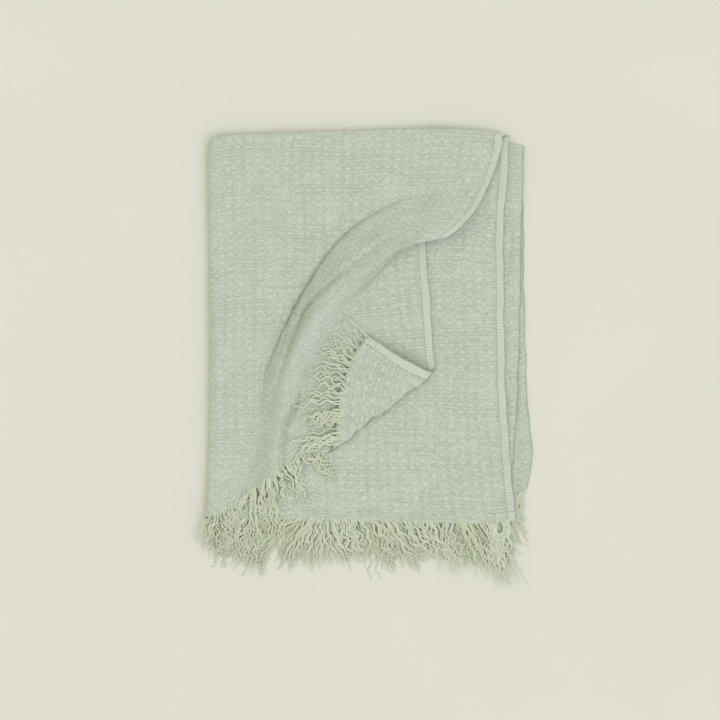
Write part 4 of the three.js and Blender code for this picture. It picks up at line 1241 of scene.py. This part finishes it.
# %% [markdown]
# ## Making the fringes
# Each fringe is one mesh of copies of the yarn. The rings of every copy are set across
# its path, and thinner towards the tip, where the fibres part and fade.

# %% Make the fringes
TIP_STARTS, TIP_THIN = 0.55, 0.55
YARN_SIZES = (0.55, 1.1)
YARN_LENGTH = 0.1
FIRST_SEED = 3


def copies_of_yarn(name, count):
    piece_bm = bmesh.new()
    for _ in range(count):
        piece_bm.from_mesh(yarn_mesh)
    mesh = bpy.data.meshes.new(name)
    piece_bm.to_mesh(mesh)
    piece_bm.free()
    return mesh


def fringe_piece(name, seed):
    fringe = FRINGES[name]
    chance = np.random.default_rng(seed)
    traits = lock_traits(fringe, chance)
    roots = yarn_roots(fringe, traits, chance)
    plan, ahead, phase = yarn_plans(traits, roots, chance)
    height = yarn_heights(fringe, traits, roots[0], plan, phase)
    count = len(plan)
    mesh = copies_of_yarn(name + "_yarns", count)
    ring = np.rint(yarn_shape[:, 2] * YARN_RINGS).astype(int)
    radius = YARN_RADIUS * (1 - TIP_THIN * ease(yarn_shape[:, 2], TIP_STARTS, 1))
    radius = radius * chance.uniform(*YARN_SIZES, (count, 1))
    side = np.stack([-ahead[..., 1], ahead[..., 0]], -1)[:, ring]
    place = np.empty((count, len(ring), 3))
    place[..., :2] = plan[:, ring] + side * (yarn_shape[:, 0] * radius)[..., None]
    place[..., 2] = height[:, ring] + yarn_shape[:, 1] * radius * YARN_FLATNESS
    mesh.vertices.foreach_set("co", (place * MM).ravel())
    tone = np.repeat(chance.uniform(*fringe["tones"], count), len(ring))
    set_uv(mesh, "yarn", tone, np.tile(yarn_shape[:, 2], count) * YARN_LENGTH)
    piece = bpy.data.objects.new(name + "_yarns", mesh)
    scene.collection.objects.link(piece)
    return piece


fringes = {name: fringe_piece(name, seed) for seed, name in enumerate(FRINGES, start=FIRST_SEED)}
print({name: len(piece.data.polygons) for name, piece in fringes.items()})

# %% [markdown]
# ## Yarn finish
# Each yarn is a soft twist of fibre. Its tone differs a little from its neighbour's,
# and a fine bump along its length stands for the twist.

# %% Yarn finish
TONE_LEAST, TONE_LIGHT, SLUB_LIGHT = 0.1, 0.8, 0.5
TWIST_EVERY = 3.0 * MM

yarn, yarn_start, yarn_shader = new_finish(
    "fringe_yarn", Roughness=0.95, Sheen_Weight=0.3, Sheen_Roughness=0.5, Specular_IOR_Level=0.1)
yarn_uv, yarn_tone, along_yarn = uv_map(yarn_start, "yarn")
slub = noise(yarn_uv, scale=60.0)
yarn_light = TONE_LEAST + TONE_LIGHT * yarn_tone + SLUB_LIGHT * (slub - 0.5)
yarn_colour = yarn_light.between(0.0, 1.0).blend(linear(195, 203, 164), linear(218, 225, 206))
connect(yarn_colour, yarn_shader, "Base Color")
twist = (along_yarn * (TURN / TWIST_EVERY)).sin()
twist_depth = {"Height": twist, "Strength": 0.5, "Distance": 0.5 * MM}
twist_bump = yarn_start.make("ShaderNodeBump", {}, twist_depth)
connect(twist_bump, yarn_shader, "Normal")
for piece in fringes.values():
    piece.data.materials.append(yarn)
print("yarn nodes", len(yarn.node_tree.nodes))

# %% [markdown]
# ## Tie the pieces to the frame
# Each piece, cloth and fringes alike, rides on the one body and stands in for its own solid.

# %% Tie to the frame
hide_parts("cloth")
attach(cloth, "root")
for name, piece in fringes.items():
    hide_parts(name)
    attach(piece, "root")
print("pieces:", 1 + len(fringes))

# %% [markdown]
# ## Floor
# The throw lies on a plain warm white table. It is far larger than the picture, so no
# edge of it shows, and a very slow noise keeps it from being one dead flat colour.

# %% Floor
FLOOR_HALF = 6.0

floor_bm = bmesh.new()
bmesh.ops.create_grid(floor_bm, x_segments=1, y_segments=1, size=FLOOR_HALF)
floor_mesh = bpy.data.meshes.new("table_top")
floor_bm.to_mesh(floor_mesh)
floor_bm.free()
floor = bpy.data.objects.new("table_top", floor_mesh)
scene.collection.objects.link(floor)
floor_finish, floor_start, floor_shader = new_finish(
    "table_top", Roughness=0.8, Specular_IOR_Level=0.2)
floor_noise = noise(object_place(floor_start), scale=3.0)
floor_colour = floor_noise.blend(linear(229, 228, 216), linear(232, 231, 220))
connect(floor_colour, floor_shader, "Base Color")
floor_mesh.materials.append(floor_finish)
print("floor", 2 * FLOOR_HALF, "m wide")

# %% [markdown]
# ## Light
# Most of the light is an even, slightly warm glow from all round. A large soft lamp,
# half way up on the right and towards the fringe, is a little cooler. It puts the broad
# soft shade on the left of every fold.

# %% Light
GLOW_COLOUR, GLOW_STRENGTH = (1.0, 1.0, 0.90, 1.0), 0.79
LAMP_FROM, LAMP_AWAY = Vector((0.85, -0.5, 1.0)), 3
LAMP_COLOUR, LAMP_STRENGTH, LAMP_SOFT = (0.94, 0.94, 1.3), 0.65, math.radians(40)

world = bpy.data.worlds.new("studio")
world.use_nodes = True
glow = world.node_tree.nodes["Background"]
glow.inputs["Color"].default_value = GLOW_COLOUR
glow.inputs["Strength"].default_value = GLOW_STRENGTH
scene.world = world

lamp_data = bpy.data.lights.new("soft_lamp", "SUN")
lamp_data.angle = LAMP_SOFT
lamp_data.energy = LAMP_STRENGTH
lamp_data.color = LAMP_COLOUR
lamp = bpy.data.objects.new("soft_lamp", lamp_data)
lamp.location = LAMP_AWAY * LAMP_FROM
lamp.rotation_mode = "QUATERNION"
lamp.rotation_quaternion = (-LAMP_FROM).to_track_quat("-Z", "Y")
scene.collection.objects.link(lamp)
scene.view_settings.view_transform = "Standard"
print("lamp from", [round(v, 2) for v in LAMP_FROM])
